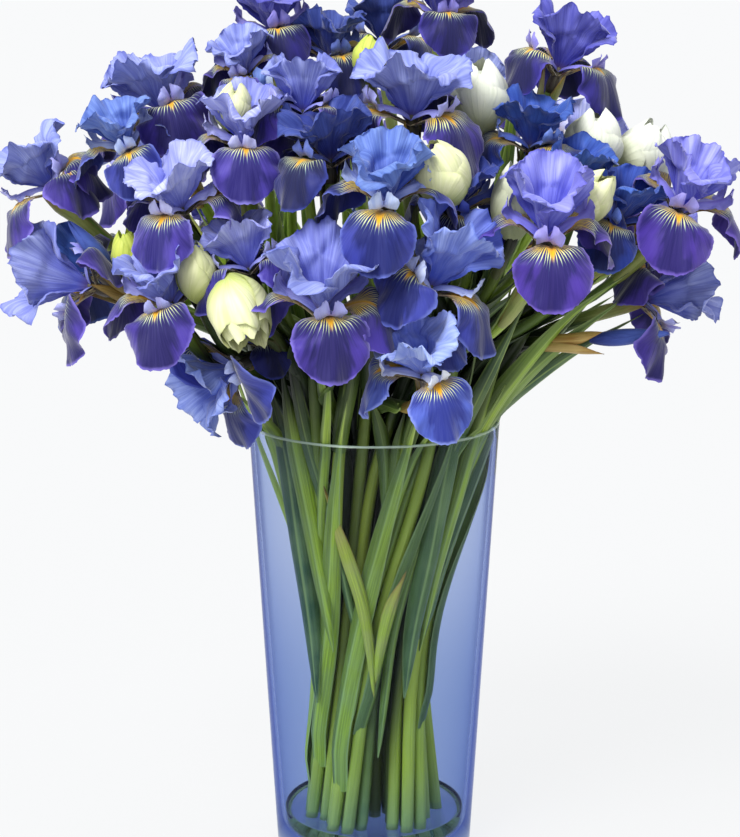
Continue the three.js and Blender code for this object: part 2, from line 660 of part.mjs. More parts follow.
// A bloom among what is already in place, and the space that it takes up itself. A petal that has no
// room is left out.
function makeBloom(head, index, taken, placed) {
  const detail = detailOf(index);
  const kept = [cutBy(heartSolid(head, 0), taken)];
  const space = [heartSolid(head, gap)];
  const addPetal = (name, turn, seed) => {
    const whole = petalBlade(name, head, turn, seed, detail, 0);
    const cut = cutBy(whole, taken);
    if (cut.isEmpty() || mainBody(cut).volume() < leastPetalLeft * whole.volume()) return;
    kept.push(mainBody(cut));
    space.push(petalBlade(name, head, turn, seed, detail, gap));
  };
  for (let i = 0; i < 3; i++) {
    const seed = index * 9 + i + 1;
    const turn = head.turn + i * 120;
    addPetal('fall', turn, seed);
    if (index < bloomsWithStyles) addPetal('style', turn, seed + 3);
    addPetal('standard', turn + 60, seed + 6);
  }
  const whole = mainBody(Manifold.union(kept), bloomTolerance);
  const overlapWith = (other) => (boxesMeet(whole, other) ? whole.intersect(other).volume() : 0);
  const touched = placed.filter((other) => overlapWith(other) > leastOverlap);
  return { solid: mainBody(cutBy(whole, touched), bloomTolerance), space };
}

// Closed buds: petals wrapped round each other, with a wavy lip that overlaps as it goes round. A grown
// bud is drawn out from its middle.
function budSolid(bud, grow) {
  const axis = headAxis(bud);
  const { outAt } = bloomFrame(bud);
  const { heights, fullness, top } = bud.blue ? budForms.rolled : budForms.plump;
  const foot = new THREE.Vector3(...bud.at);
  const middle = foot.clone().addScaledVector(axis, bud.height / 2);
  const growth = 1 + (edgeGrowth * grow) / bud.width;
  const grown = (point) => point.sub(middle).multiplyScalar(growth).add(middle);
  const rings = heights.map((height, row) => Array.from({ length: budSides }, (_, i) => {
    const wrap = row > 0 ? 1 + budWrap * ((i % 3) - 1) : 1;
    const lip = row === heights.length - 1 ? budLip * bud.height * ((i % 2) * 2 - 1) : 0;
    return grown(foot.clone()
      .addScaledVector(axis, height * bud.height + lip)
      .addScaledVector(outAt((i / budSides) * 360), (bud.width / 2) * fullness[row] * wrap));
  }));
  return loft(rings, undefined, grown(foot.clone().addScaledVector(axis, top * bud.height)));
}

// Assembly

const colours = {
  glass: { color: 0x8f9fe0, roughness: 0.05, transparent: true, opacity: 0.35 },
  water: { color: 0xdfeaf5, roughness: 0.05, transparent: true, opacity: 0.4 },
  violet: { color: 0x5a4fb0, roughness: 0.6 },
  blue: { color: 0x3f5cae, roughness: 0.6 },
  cream: { color: 0xf0f2cf, roughness: 0.6 },
  green: { color: 0x5f8a35, roughness: 0.5 },
};

const part = new THREE.Group();

function addPiece(name, solid, colour) {
  const { numProp, vertProperties, triVerts } = solid.getMesh();
  const geometry = new THREE.BufferGeometry();
  geometry.setAttribute('position', new THREE.BufferAttribute(Float32Array.from(vertProperties), numProp));
  geometry.setIndex(new THREE.BufferAttribute(Uint32Array.from(triVerts), 1));
  const material = new THREE.MeshStandardMaterial({ metalness: 0, ...colours[colour] });
  const piece = new THREE.Mesh(geometry, material);
  piece.name = name;
  part.add(piece);
}

const heads = [...blooms, ...buds];
const stems = makeStems(heads);
const bundles = [0, 1, 2, 3].map((bundle) => stems.filter((stem) => bundleOf(stem.cluster) === bundle));
const vaseCutter = turned(vaseProfile(gap), vaseSides);
const joinedStems = (grow) => bundles.map((own) => Manifold.union(own.map((stem) => stemTube(stem, grow))));
const stemBodies = joinedStems(0);
const stemCutters = joinedStems(gap);

addPiece('vase', turned(vaseProfile(0), vaseSides), 'glass');

const leafCutters = [];
const placedBundles = [];

function leafHost({ cluster, stem }) {
  return stems.find((one) => one.cluster === cluster && one.stem === stem && one.fixed > 1);
}

bundles.forEach((own, bundle) => {
  const others = stemCutters.filter((_, i) => i !== bundle);
  const ownLeaves = leaves.filter((leaf) => bundleOf(leaf.cluster) === bundle && leafHost(leaf));
  const leafLimits = [vaseCutter, ...others, ...leafCutters];
  const blades = ownLeaves.map((leaf) => cutBy(leafBlade(leaf, leafHost(leaf), 0), leafLimits));
  const joined = Manifold.union([stemBodies[bundle], ...blades]);
  const bundleBody = mainBody(cutBy(joined, [...others.slice(0, bundle), ...placedBundles]));
  placedBundles.push(bundleBody);
  leafCutters.push(...ownLeaves.map((leaf) => leafBlade(leaf, leafHost(leaf), gap)));
  addPiece(`stems_${['middle', 'right', 'back', 'front'][bundle]}`, bundleBody, 'green');
});

// The water lies on the vase's floor, and each cluster of stems stands in its own six-sided hole in it.
function clusterHole(cluster) {
  const corner = (stemRadii.inVase[0] + gap) / Math.cos(30 * degrees) + gap;
  const reach = stemSpacing * spread.foot + corner;
  const ringAt = (z) => {
    const centre = inVase(clusterCentre(cluster), z);
    return ring(centre, up, inVase(planPoint(cluster, 1), z).sub(centre), reach, 6);
  };
  return loft([ringAt(floorThickness - 1), ringAt(waterLevel + 1)]);
}

const waterFoot = floorThickness + gap;
const wallFoot = floorThickness + floorCorner;
const waterBody = turned([
  [0, waterFoot],
  [innerRadius(waterFoot) - floorCorner - gap, waterFoot],
  [innerRadius(wallFoot) - waterSideGap, wallFoot],
  [innerRadius(waterLevel) - waterSideGap, waterLevel],
  [0, waterLevel],
], vaseSides);
const holes = Array.from({ length: 7 }, (_, cluster) => clusterHole(cluster));
addPiece('water', mainBody(cutBy(waterBody, holes)), 'water');

// Buds keep their whole form, and the petals make way for them.
const taken = [vaseCutter, ...stemCutters, ...leafCutters];
const placedBlooms = [];
for (const bud of buds) {
  const colour = ['green', 'blue'].find((name) => bud[name]) ?? 'cream';
  addPiece(bud.name, mainBody(cutBy(budSolid(bud, 0), taken)), colour);
  taken.push(budSolid(bud, gap));
}
blooms.forEach((head, index) => {
  const { solid, space } = makeBloom(head, index, taken, placedBlooms);
  addPiece(head.name, solid, head.blue ? 'blue' : 'violet');
  taken.push(...space);
  placedBlooms.push(solid);
});

export default part;
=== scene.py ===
import json
import math

import bpy
import numpy as np
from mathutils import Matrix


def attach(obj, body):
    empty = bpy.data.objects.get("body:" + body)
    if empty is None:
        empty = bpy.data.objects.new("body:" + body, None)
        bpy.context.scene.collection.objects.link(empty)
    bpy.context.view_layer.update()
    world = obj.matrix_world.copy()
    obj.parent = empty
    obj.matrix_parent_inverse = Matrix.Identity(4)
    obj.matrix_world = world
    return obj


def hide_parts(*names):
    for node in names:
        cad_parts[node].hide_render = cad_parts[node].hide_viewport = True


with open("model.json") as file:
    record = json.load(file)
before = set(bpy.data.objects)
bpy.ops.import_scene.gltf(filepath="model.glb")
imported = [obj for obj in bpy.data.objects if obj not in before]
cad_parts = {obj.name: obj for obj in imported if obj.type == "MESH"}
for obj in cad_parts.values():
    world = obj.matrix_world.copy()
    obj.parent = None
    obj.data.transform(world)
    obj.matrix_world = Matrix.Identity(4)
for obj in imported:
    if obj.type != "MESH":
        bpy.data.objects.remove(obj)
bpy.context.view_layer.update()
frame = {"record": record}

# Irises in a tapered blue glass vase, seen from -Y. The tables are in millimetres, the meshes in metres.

mm = 0.001
up = np.array([0.0, 0.0, 1.0])
towardViewer = np.array([0.0, -1.0, 0.0])


def unit(vector):
    vector = np.asarray(vector, float)
    return vector / np.linalg.norm(vector, axis=-1, keepdims=True)


def smooth(start, end, value):
    share = np.clip((np.asarray(value, float) - start) / (end - start), 0, 1)
    return share * share * (3 - 2 * share)


def curveThrough(knots, values, at):
    # A smooth curve through the values, which may be numbers or points.
    knots, values, at = np.asarray(knots, float), np.asarray(values, float), np.asarray(at, float)
    slopes = np.gradient(values, knots, axis=0)
    i = np.clip(np.searchsorted(knots, at, side="right") - 1, 0, len(knots) - 2)
    gap = knots[i + 1] - knots[i]
    t = (at - knots[i]) / gap
    if values.ndim > 1:
        gap, t = gap[..., None], t[..., None]
    first = (2 * t**3 - 3 * t**2 + 1) * values[i] + (t**3 - 2 * t**2 + t) * gap * slopes[i]
    return first + (3 * t**2 - 2 * t**3) * values[i + 1] + (t**3 - t**2) * gap * slopes[i + 1]


def onCircle(radius, angle, centre=(0.0, 0.0)):
    return (centre[0] + radius * math.cos(angle), centre[1] + radius * math.sin(angle))


def linear(colour):
    # Scene colour of an sRGB colour given as 0 to 255.
    shares = [c / 255 for c in colour]
    return [c / 12.92 if c <= 0.04045 else ((c + 0.055) / 1.055) ** 2.4 for c in shares] + [1.0]


def addObject(name, data):
    made = bpy.data.objects.new(name, data)
    bpy.context.collection.objects.link(made)
    return made


# Camera, at the photograph's viewing angle
view = {"place": (-2.7, -1355, 593), "pitch": 12.2, "lens": 89.08, "sensor": 36, "farthest": 200}


def addCamera():
    camera = addObject("camera", bpy.data.cameras.new("camera"))
    camera.data.lens = view["lens"]
    camera.data.sensor_width = view["sensor"]
    camera.data.clip_end = view["farthest"]
    camera.location = [c * mm for c in view["place"]]
    camera.rotation_euler = (math.radians(90 - view["pitch"]), 0, 0)
    bpy.context.scene.camera = camera


addCamera()
print("camera set")

# Mesh patches: closed shells, tubes and turned forms, which are joined into one mesh a piece
smallBend = 1e-4  # radians a millimetre, below which a sheet counts as flat
farFromMargin = 9.0  # millimetres, for what has no margin


def lengthsOf(path):
    # The length along a line of points up to each of them.
    return np.concatenate([[0], np.cumsum(np.linalg.norm(np.diff(path, axis=0), axis=1))])


def alongLine(at, known, points):
    # The points of a line, or the first parts of them, at the given places along it.
    return np.stack([np.interp(at, known, points[:, k]) for k in range(points.shape[1])], -1)


def sheetGrid(rows, cols):
    # u runs from -1 to 1 across a petal or leaf, t from 0 to 1 along it.
    return np.meshgrid(np.linspace(-1, 1, cols), np.linspace(0, 1, rows))


def toMargin(u, t, half, length):
    # How far each point of a sheet is from its margin.
    return np.minimum((1 - np.abs(u)) * half, (1 - t) * length)


def folded(x, bend):
    # Where x comes to lie on a bent sheet: how far across, and how far back.
    bend = np.where(np.abs(bend) < smallBend, smallBend, bend)
    return np.sin(bend * x) / bend, (1 - np.cos(bend * x)) / bend


def quadsOf(index):
    corners = [index[:-1, :-1], index[:-1, 1:], index[1:, 1:], index[1:, :-1]]
    return np.stack(corners, -1).reshape(-1, 4)


def closedShell(grid, thickness, flat, u, t, near, tone, material):
    # Two faces of a thin sheet, which meet along its margin.
    rows, cols = grid.shape[:2]
    normal = np.cross(np.gradient(grid, axis=1), np.gradient(grid, axis=0))
    normal /= np.maximum(np.linalg.norm(normal, axis=-1, keepdims=True), 1e-9)
    inside = np.zeros((rows, cols, 1))
    inside[1:-1, 1:-1] = 1
    offset = normal * np.broadcast_to(thickness, (rows, cols))[..., None] * inside / 2
    front = rows * cols
    index = np.arange(front).reshape(rows, cols)
    back = index.copy()
    back[1:-1, 1:-1] = front + np.arange((rows - 2) * (cols - 2)).reshape(rows - 2, cols - 2)

    def both(values):
        values = np.asarray(values, float).reshape(rows, cols, -1)
        return np.concatenate([values.reshape(front, -1), values[1:-1, 1:-1].reshape(-1, values.shape[-1])])

    points = both(grid - offset)
    points[:front] = (grid + offset).reshape(-1, 3)
    margin = np.zeros(len(points), bool)
    margin[:front] = inside.reshape(-1) == 0
    return {
        "points": points, "quads": np.concatenate([quadsOf(index), quadsOf(back)[:, ::-1]]),
        "flat": both(np.stack(flat, -1)), "edge": both(np.stack([u / 2 + 0.5, t], -1)),
        "near": both(near)[:, 0], "tone": np.full(len(points), tone), "margin": margin, "material": material,
    }


def closedRings(rings, ends, flat, edge, tone, material):
    # Rings of points joined side by side, and closed by a point at each end.
    count, sides = rings.shape[:2]
    index = np.arange(count * sides).reshape(count, sides)
    first, total, turned = count * sides, count * sides + 2, np.roll(np.arange(sides), -1)
    return {
        "points": np.concatenate([rings.reshape(-1, 3), ends]),
        "quads": quadsOf(np.concatenate([index, index[:, :1]], 1)),
        "tris": np.concatenate([np.stack([np.full(sides, first), turned, index[0]], 1),
                                np.stack([np.full(sides, first + 1), index[-1], index[-1][turned]], 1)]),
        "flat": flat, "edge": edge, "near": np.full(total, farFromMargin), "tone": np.full(total, tone),
        "margin": np.zeros(total, bool), "material": material,
    }


def ringTube(path, radii, sides, tone, material, ridge=0.0):
    # A round tube along a path; its two maps come from the turn round it and the length along it.
    path, radii = np.asarray(path, float), np.asarray(radii, float)
    along = unit(np.gradient(path, axis=0))
    side = unit(towardViewer - (along @ towardViewer)[:, None] * along)
    angle = np.arange(sides) * 2 * math.pi / sides
    around = (np.cos(angle)[None, :, None] * side[:, None]
              + np.sin(angle)[None, :, None] * np.cross(along, side)[:, None])
    swell = 1 + ridge * np.cos(angle * 3 + tone * 9)[None, :, None]
    length = lengthsOf(path)[:, None]
    maps = [np.concatenate([np.stack(np.broadcast_arrays(*pair), -1).reshape(-1, 2), [[0, 0], [0, far]]])
            for *pair, far in ((angle * radii[:, None], length, length[-1, 0]),
                               (angle[None] / (2 * math.pi), length / length[-1], 1))]
    return closedRings(path[:, None] + around * radii[:, None, None] * swell, path[[0, -1]], *maps, tone,
                       material)


def turnedForm(profile, sides):
    # A profile of radius and height turned round the vertical axis; it starts and ends on the axis.
    inner = np.asarray(profile[1:-1], float)
    angle = np.arange(sides) * 2 * math.pi / sides
    rings = np.stack([inner[:, :1] * np.cos(angle), inner[:, :1] * np.sin(angle),
                      np.broadcast_to(inner[:, 1:], (len(inner), sides))], -1)
    ends = np.array([[0, 0, profile[0][1]], [0, 0, profile[-1][1]]], float)
    points = np.concatenate([rings.reshape(-1, 3), ends])
    flat = np.stack([np.arctan2(points[:, 1], points[:, 0]) * 60, points[:, 2]], 1)
    return closedRings(rings, ends, flat, flat / 100, 0.0, 0)


def makePiece(name, patches, materials, slotName, *nodes):
    # One mesh of all the patches, riding on the body and standing for its CAD nodes.
    starts = np.cumsum([0] + [len(patch["points"]) for patch in patches])
    faces, looks = [], []
    for patch, start in zip(patches, starts):
        patch.setdefault("shade", np.zeros(len(patch["points"])))
        for shape in ("quads", "tris"):
            if shape in patch:
                faces += (patch[shape] + start).tolist()
                looks += [patch["material"]] * len(patch[shape])

    def joined(key):
        return np.concatenate([patch[key] for patch in patches])

    mesh = bpy.data.meshes.new(name)
    mesh.from_pydata((joined("points") * mm).tolist(), [], faces)
    corners = np.empty(len(mesh.loops), np.int32)
    mesh.loops.foreach_get("vertex_index", corners)
    for layer, values in (("petalMap", joined("flat") / 100), ("petalEdge", joined("edge"))):
        mesh.uv_layers.new(name=layer).data.foreach_set("uv", values[corners].ravel())
    for label, key in (("marginNear", "near"), ("petalTone", "tone"), ("inShade", "shade")):
        mesh.attributes.new(label, "FLOAT", "POINT").data.foreach_set("value", joined(key))
    ends = np.empty(len(mesh.edges) * 2, np.int32)
    mesh.edges.foreach_get("vertices", ends)
    sharp = joined("margin")[ends.reshape(-1, 2)].all(1)
    mesh.attributes.new("sharp_edge", "BOOLEAN", "EDGE").data.foreach_set("value", sharp)
    for material in materials:
        mesh.materials.append(material)
    mesh.polygons.foreach_set("material_index", looks)
    mesh.polygons.foreach_set("use_smooth", [True] * len(faces))
    mesh.update()
    piece = addObject(name, mesh)
    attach(piece, "root")
    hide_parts(*nodes)
    return piece


# Shader node helpers. A value is another node's output, a number, or a colour as (r, g, b) from 0 to 255.


def addNode(tree, kind, values=None, **settings):
    made = tree.nodes.new(kind)
    for key, value in settings.items():
        setattr(made, key, value)
    for key, value in (values or {}).items():
        if isinstance(value, bpy.types.NodeSocket):
            tree.links.new(value, made.inputs[key])
        else:
            made.inputs[key].default_value = linear(value) if isinstance(value, tuple) else value
    return made


def maths(tree, operation, first, second=0.0, third=0.0):
    return addNode(tree, "ShaderNodeMath", {0: first, 1: second, 2: third}, operation=operation).outputs[0]


def times(tree, first, second):
    return maths(tree, "MULTIPLY", first, second)


def plus(tree, first, second):
    return maths(tree, "ADD", first, second)


def minus(tree, first, second):
    return maths(tree, "SUBTRACT", first, second)


def clamped(tree, value):
    return addNode(tree, "ShaderNodeClamp", {0: value}).outputs[0]


def ramp(tree, value, start, end, low=0.0, high=1.0):
    # Goes smoothly from low to high while the value goes from start to end.
    values = {"Value": value, "From Min": start, "From Max": end, "To Min": low, "To Max": high}
    return addNode(tree, "ShaderNodeMapRange", values, interpolation_type="SMOOTHSTEP").outputs["Result"]


def mixed(tree, share, first, second, blend="MIX"):
    return addNode(tree, "ShaderNodeMix", {0: share, 6: first, 7: second}, data_type="RGBA",
                   blend_type=blend).outputs[2]


def layered(tree, colour, *layers):
    # Colours laid over each other; a layer is its share, or its share and a factor, and its colour.
    for share, over in layers:
        colour = mixed(tree, times(tree, *share) if isinstance(share, tuple) else share, colour, over)
    return colour


def vectorOf(tree, x, y, z=0.0):
    return addNode(tree, "ShaderNodeCombineXYZ", {0: x, 1: y, 2: z}).outputs[0]


def noise(tree, vector, scale, detail=2.0):
    values = {"Vector": vector, "Scale": scale, "Detail": detail}
    return addNode(tree, "ShaderNodeTexNoise", values).outputs[0]


def polar(tree, x, y):
    # The angle from the petal's middle line, and the distance.
    distance = maths(tree, "SQRT", plus(tree, times(tree, x, x), times(tree, y, y)))
    return maths(tree, "ARCTAN2", x, y), distance


def uvParts(tree, name):
    vector = addNode(tree, "ShaderNodeUVMap", uv_map=name).outputs[0]
    parts = addNode(tree, "ShaderNodeSeparateXYZ", {0: vector}).outputs
    return parts[0], parts[1]


def offMiddle(tree, across):
    return maths(tree, "ABSOLUTE", minus(tree, across, 0.5))


def heightOf(tree):
    place = addNode(tree, "ShaderNodeTexCoord").outputs["Object"]
    return addNode(tree, "ShaderNodeSeparateXYZ", {0: place}).outputs[2]


def attribute(tree, name):
    return addNode(tree, "ShaderNodeAttribute", attribute_name=name).outputs["Fac"]


def newGroup(name, inputs, outputs):
    group = bpy.data.node_groups.new(name, "ShaderNodeTree")
    for socket, value in inputs.items():
        made = group.interface.new_socket(socket, in_out="INPUT", socket_type="NodeSocketFloat")
        made.default_value = value
    for socket in outputs:
        group.interface.new_socket(socket, in_out="OUTPUT", socket_type="NodeSocketFloat")
    given, out = group.nodes.new("NodeGroupInput").outputs, group.nodes.new("NodeGroupOutput").inputs

    def putOut(values):
        for socket, value in values.items():
            group.links.new(value, out[socket])
        return group

    return group, given, putOut


def useGroup(tree, group, **values):
    # The names of a group's inputs and outputs are one word each.
    return addNode(tree, "ShaderNodeGroup", values, node_tree=group).outputs


def veinGroup():
    # Veins that fan out from a point on the petal's middle line, and broad streaks between them.
    group, given, putOut = newGroup("Petal Veins", {"Count": 30.0, "Start": 0.0}, ["Veins", "Fine", "Mottle"])
    x, y = uvParts(group, "petalMap")
    across, along = polar(group, x, maths(group, "MAXIMUM", minus(group, y, given["Start"]), 0.01))
    tone = times(group, attribute(group, "petalTone"), 37.0)

    def streaks(count, stretch, detail, start, end):
        place = vectorOf(group, times(group, across, count), times(group, along, stretch), tone)
        return ramp(group, noise(group, place, 1.0, detail), start, end)

    return putOut({"Veins": streaks(given["Count"], 2.6, 2.0, 0.38, 0.64),
                   "Fine": streaks(times(group, given["Count"], 2.7), 5.0, 2.0, 0.35, 0.65),
                   "Mottle": streaks(5.0, 4.0, 3.0, 0.34, 0.66)})


def signalGroup():
    # The signal at the head of a fall: a tongue, a fan of tapering rays round it and a netted haft.
    group, given, putOut = newGroup("Signal Rays", {"Start": 0.16, "Reach": 0.29, "Count": 66.0},
                                    ["Tongue", "Rays", "Distance", "Haft", "Net"])
    x, y = uvParts(group, "petalMap")
    ahead = minus(group, y, given["Start"])
    angle, distance = polar(group, x, ahead)
    share = maths(group, "DIVIDE", distance, given["Reach"])
    tone = attribute(group, "petalTone")
    place = vectorOf(group, times(group, angle, 6.0), times(group, distance, 4.0), times(group, tone, 29.0))
    wander = times(group, noise(group, place, 1.0), 9.0)
    wave = maths(group, "COSINE", plus(group, times(group, angle, given["Count"]), wander))
    wave = maths(group, "MULTIPLY_ADD", wave, 0.5, 0.5)
    uneven = minus(group, times(group, noise(group, place, 2.3, 1.0), 0.4), 0.2)
    limit = plus(group, ramp(group, share, 0.25, 0.95, 0.22, 0.98), uneven)
    rays = ramp(group, minus(group, wave, limit), 0.0, 0.42)
    for fade in (ramp(group, share, 0.55, 1.15, 1.0, 0.0),
                 ramp(group, maths(group, "ABSOLUTE", angle), 0.7, 1.3, 1.0, 0.2),
                 ramp(group, ahead, -0.045, 0.02)):
        rays = times(group, rays, fade)
    tongueWide = maths(group, "DIVIDE", x, ramp(group, y, 0.16, 0.36, 0.05, 0.012))
    tongue = ramp(group, maths(group, "ABSOLUTE", tongueWide), 0.4, 1.1, 1.0, 0.0)
    for fade in (ramp(group, y, 0.3, 0.37, 1.0, 0.0), ramp(group, y, 0.1, 0.17)):
        tongue = times(group, tongue, fade)
    net = noise(group, vectorOf(group, times(group, x, 90.0), times(group, y, 26.0), tone), 1.0, 3.0)
    return putOut({"Rays": rays, "Tongue": tongue, "Distance": share, "Net": ramp(group, net, 0.4, 0.6),
                   "Haft": ramp(group, y, 0.17, 0.24, 1.0, 0.0)})


def rimGroup():
    # How near a petal's margin is, made uneven.
    group, given, putOut = newGroup("Petal Rim", {"Width": 2.0}, ["Rim"])
    place = vectorOf(group, *uvParts(group, "petalMap"), attribute(group, "petalTone"))
    width = times(group, given["Width"], plus(group, noise(group, place, 18.0), 0.5))
    share = maths(group, "DIVIDE", attribute(group, "marginNear"), width)
    return putOut({"Rim": ramp(group, share, 0.1, 1.3, 1.0, 0.0)})


def streakGroup():
    # Long streaks down a stem or leaf, and broad blotches.
    group, given, putOut = newGroup("Leaf Streaks", {"Across": 60.0, "Along": 3.0}, ["Streaks", "Blotches"])
    across, along = uvParts(group, "petalMap")
    tone = times(group, attribute(group, "petalTone"), 31.0)
    thin = vectorOf(group, times(group, across, given["Across"]), times(group, along, given["Along"]), tone)
    wide = vectorOf(group, across, along, tone)
    return putOut({"Streaks": ramp(group, noise(group, thin, 1.0, 3.0), 0.32, 0.68),
                   "Blotches": ramp(group, noise(group, wide, 4.0, 3.0), 0.36, 0.66)})


petalVeins, signalRays, petalRim, leafStreaks = veinGroup(), signalGroup(), rimGroup(), streakGroup()


def newMaterial(name, shader):
    material = bpy.data.materials.new(name)
    material.use_nodes = True
    tree = material.node_tree
    tree.nodes.clear()
    output = tree.nodes.new("ShaderNodeOutputMaterial")
    surface = addNode(tree, "ShaderNodeBsdfPrincipled", shader)
    tree.links.new(surface.outputs[0], output.inputs["Surface"])
    return material, tree, surface, output


def addBump(tree, surface, height, strength, distance):
    bump = addNode(tree, "ShaderNodeBump", {"Height": height, "Strength": strength, "Distance": distance})
    tree.links.new(bump.outputs[0], surface.inputs["Normal"])


def finishMaterial(look, colour, rough, height, strength, deep=(174, 179, 234)):
    # rough: a mask and the roughness at its two ends; deep: what the colour is multiplied by where the
    # bouquet shades it most
    material, tree, surface, _ = look
    darker = mixed(tree, 1.0, colour, deep, "MULTIPLY")
    tree.links.new(mixed(tree, attribute(tree, "inShade"), colour, darker), surface.inputs["Base Color"])
    mask, smoothest, roughest = rough
    tree.links.new(ramp(tree, mask, 0.0, 1.0, smoothest, roughest), surface.inputs["Roughness"])
    addBump(tree, surface, height, strength, 0.0006)
    return material


# Petal finishes. Each palette: a standard's colour and the darker blue of its veins and rims, which is also
# painted as shade in its folds and towards its foot; a style arm; and a fall's heart, body and rim.
palettes = {
    "violet": {"light": (174, 186, 240), "folds": (76, 92, 184), "style": (172, 172, 234),
               "heart": (24, 18, 86), "body": (66, 48, 150), "rim": (122, 108, 204)},
    "lilac": {"light": (166, 170, 244), "folds": (80, 82, 192), "style": (160, 152, 228),
              "heart": (30, 20, 96), "body": (74, 50, 156), "rim": (120, 98, 200)},
    "pale": {"light": (204, 210, 252), "folds": (112, 122, 214), "style": (196, 196, 242),
             "heart": (34, 26, 106), "body": (78, 62, 164), "rim": (140, 132, 216)},
    "indigo": {"light": (126, 128, 220), "folds": (48, 50, 156), "style": (150, 142, 222),
               "heart": (12, 12, 70), "body": (40, 32, 122), "rim": (78, 68, 172)},
    "periwinkle": {"light": (164, 182, 242), "folds": (68, 94, 190), "style": (206, 216, 246),
                   "heart": (18, 28, 100), "body": (58, 66, 162), "rim": (112, 126, 210)},
    "mist": {"light": (192, 208, 252), "folds": (104, 130, 216), "style": (240, 244, 252),
             "heart": (36, 48, 136), "body": (80, 100, 196), "rim": (136, 152, 228)},
    "steel": {"light": (132, 162, 228), "folds": (40, 74, 160), "style": (196, 210, 244),
              "heart": (16, 26, 100), "body": (54, 62, 158), "rim": (102, 116, 202)},
    "azure": {"light": (72, 110, 196), "folds": (20, 50, 132), "style": (120, 146, 220),
              "heart": (10, 24, 86), "body": (30, 54, 142), "rim": (74, 100, 188)},
    "navy": {"light": (72, 92, 170), "folds": (20, 36, 106), "style": (104, 122, 196),
             "heart": (8, 14, 66), "body": (26, 34, 112), "rim": (58, 70, 156)},
}
petalSheen = {"Sheen Weight": 0.25, "Sheen Roughness": 0.45, "Specular IOR Level": 0.25}
signalColours = {"tongue": (250, 184, 24), "inner": (248, 212, 40), "middle": (226, 238, 178),
                 "outer": (120, 186, 236), "haft": (176, 158, 104), "net": (74, 34, 28)}


def standardMaterial(name, palette):
    look = newMaterial(name, petalSheen)
    tree = look[1]
    veins = useGroup(tree, petalVeins, Count=26.0)
    rim = useGroup(tree, petalRim, Width=1.6)["Rim"]
    along = uvParts(tree, "petalEdge")[1]
    # painted shade: the darker blue towards a standard's foot and in broad streaks along its folds
    deep = times(tree, ramp(tree, along, 0.0, 0.7, 1.0, 0.0), 0.8)
    deep = plus(tree, deep, times(tree, veins["Mottle"], 0.4))
    colour = layered(
        tree, palette["light"],
        (clamped(tree, deep), palette["folds"]), ((veins["Veins"], 0.42), palette["folds"]),
        ((veins["Fine"], 0.14), palette["body"]), ((rim, 0.55), palette["folds"]),
        (ramp(tree, along, 0.03, 0.2, 0.8, 0.0), (92, 66, 84)),
        ((attribute(tree, "petalTone"), 0.16), palette["rim"]))
    return finishMaterial(look, colour, (veins["Mottle"], 0.5, 0.62), veins["Veins"], 0.35)


def fallMaterial(name, palette):
    look = newMaterial(name, {**petalSheen, "Sheen Weight": 0.4})
    tree = look[1]
    veins = useGroup(tree, petalVeins, Count=16.0, Start=0.15)
    signal = useGroup(tree, signalRays)
    rim = useGroup(tree, petalRim, Width=2.4)["Rim"]
    across, along = uvParts(tree, "petalEdge")
    band = minus(tree, offMiddle(tree, across), times(tree, veins["Mottle"], 0.12))
    foot = ramp(tree, along, 0.36, 0.7, 1.0, 0.0)
    dark = maths(tree, "MAXIMUM", ramp(tree, band, 0.0, 0.3, 1.0, 0.0), foot)
    dark = plus(tree, dark, times(tree, veins["Mottle"], 0.45))
    dark = plus(tree, dark, times(tree, veins["Veins"], 0.1))
    haft = mixed(tree, signal["Net"], signalColours["haft"], signalColours["net"])
    rays = layered(tree, signalColours["inner"],
                   (ramp(tree, signal["Distance"], 0.38, 0.62), signalColours["middle"]),
                   (ramp(tree, signal["Distance"], 0.62, 0.95), signalColours["outer"]))
    colour = layered(
        tree, palette["body"],
        (clamped(tree, dark), palette["heart"]), ((veins["Fine"], 0.05), palette["rim"]),
        ((rim, 0.75), palette["rim"]), (signal["Haft"], haft), (signal["Rays"], rays),
        (signal["Tongue"], signalColours["tongue"]))
    height = maths(tree, "MULTIPLY_ADD", signal["Rays"], 0.5, veins["Veins"])
    return finishMaterial(look, colour, (veins["Mottle"], 0.55, 0.7), height, 0.22)


def styleMaterial(name, palette):
    look = newMaterial(name, petalSheen)
    tree = look[1]
    veins = useGroup(tree, petalVeins, Count=14.0)
    across, along = uvParts(tree, "petalEdge")
    colour = layered(tree, palette["style"], ((veins["Veins"], 0.35), palette["light"]),
                     (ramp(tree, offMiddle(tree, across), 0.0, 0.2, 0.6, 0.0), palette["rim"]),
                     (ramp(tree, along, 0.0, 0.4, 0.6, 0.0), palette["folds"]))
    return finishMaterial(look, colour, (veins["Mottle"], 0.45, 0.6), veins["Fine"], 0.3)


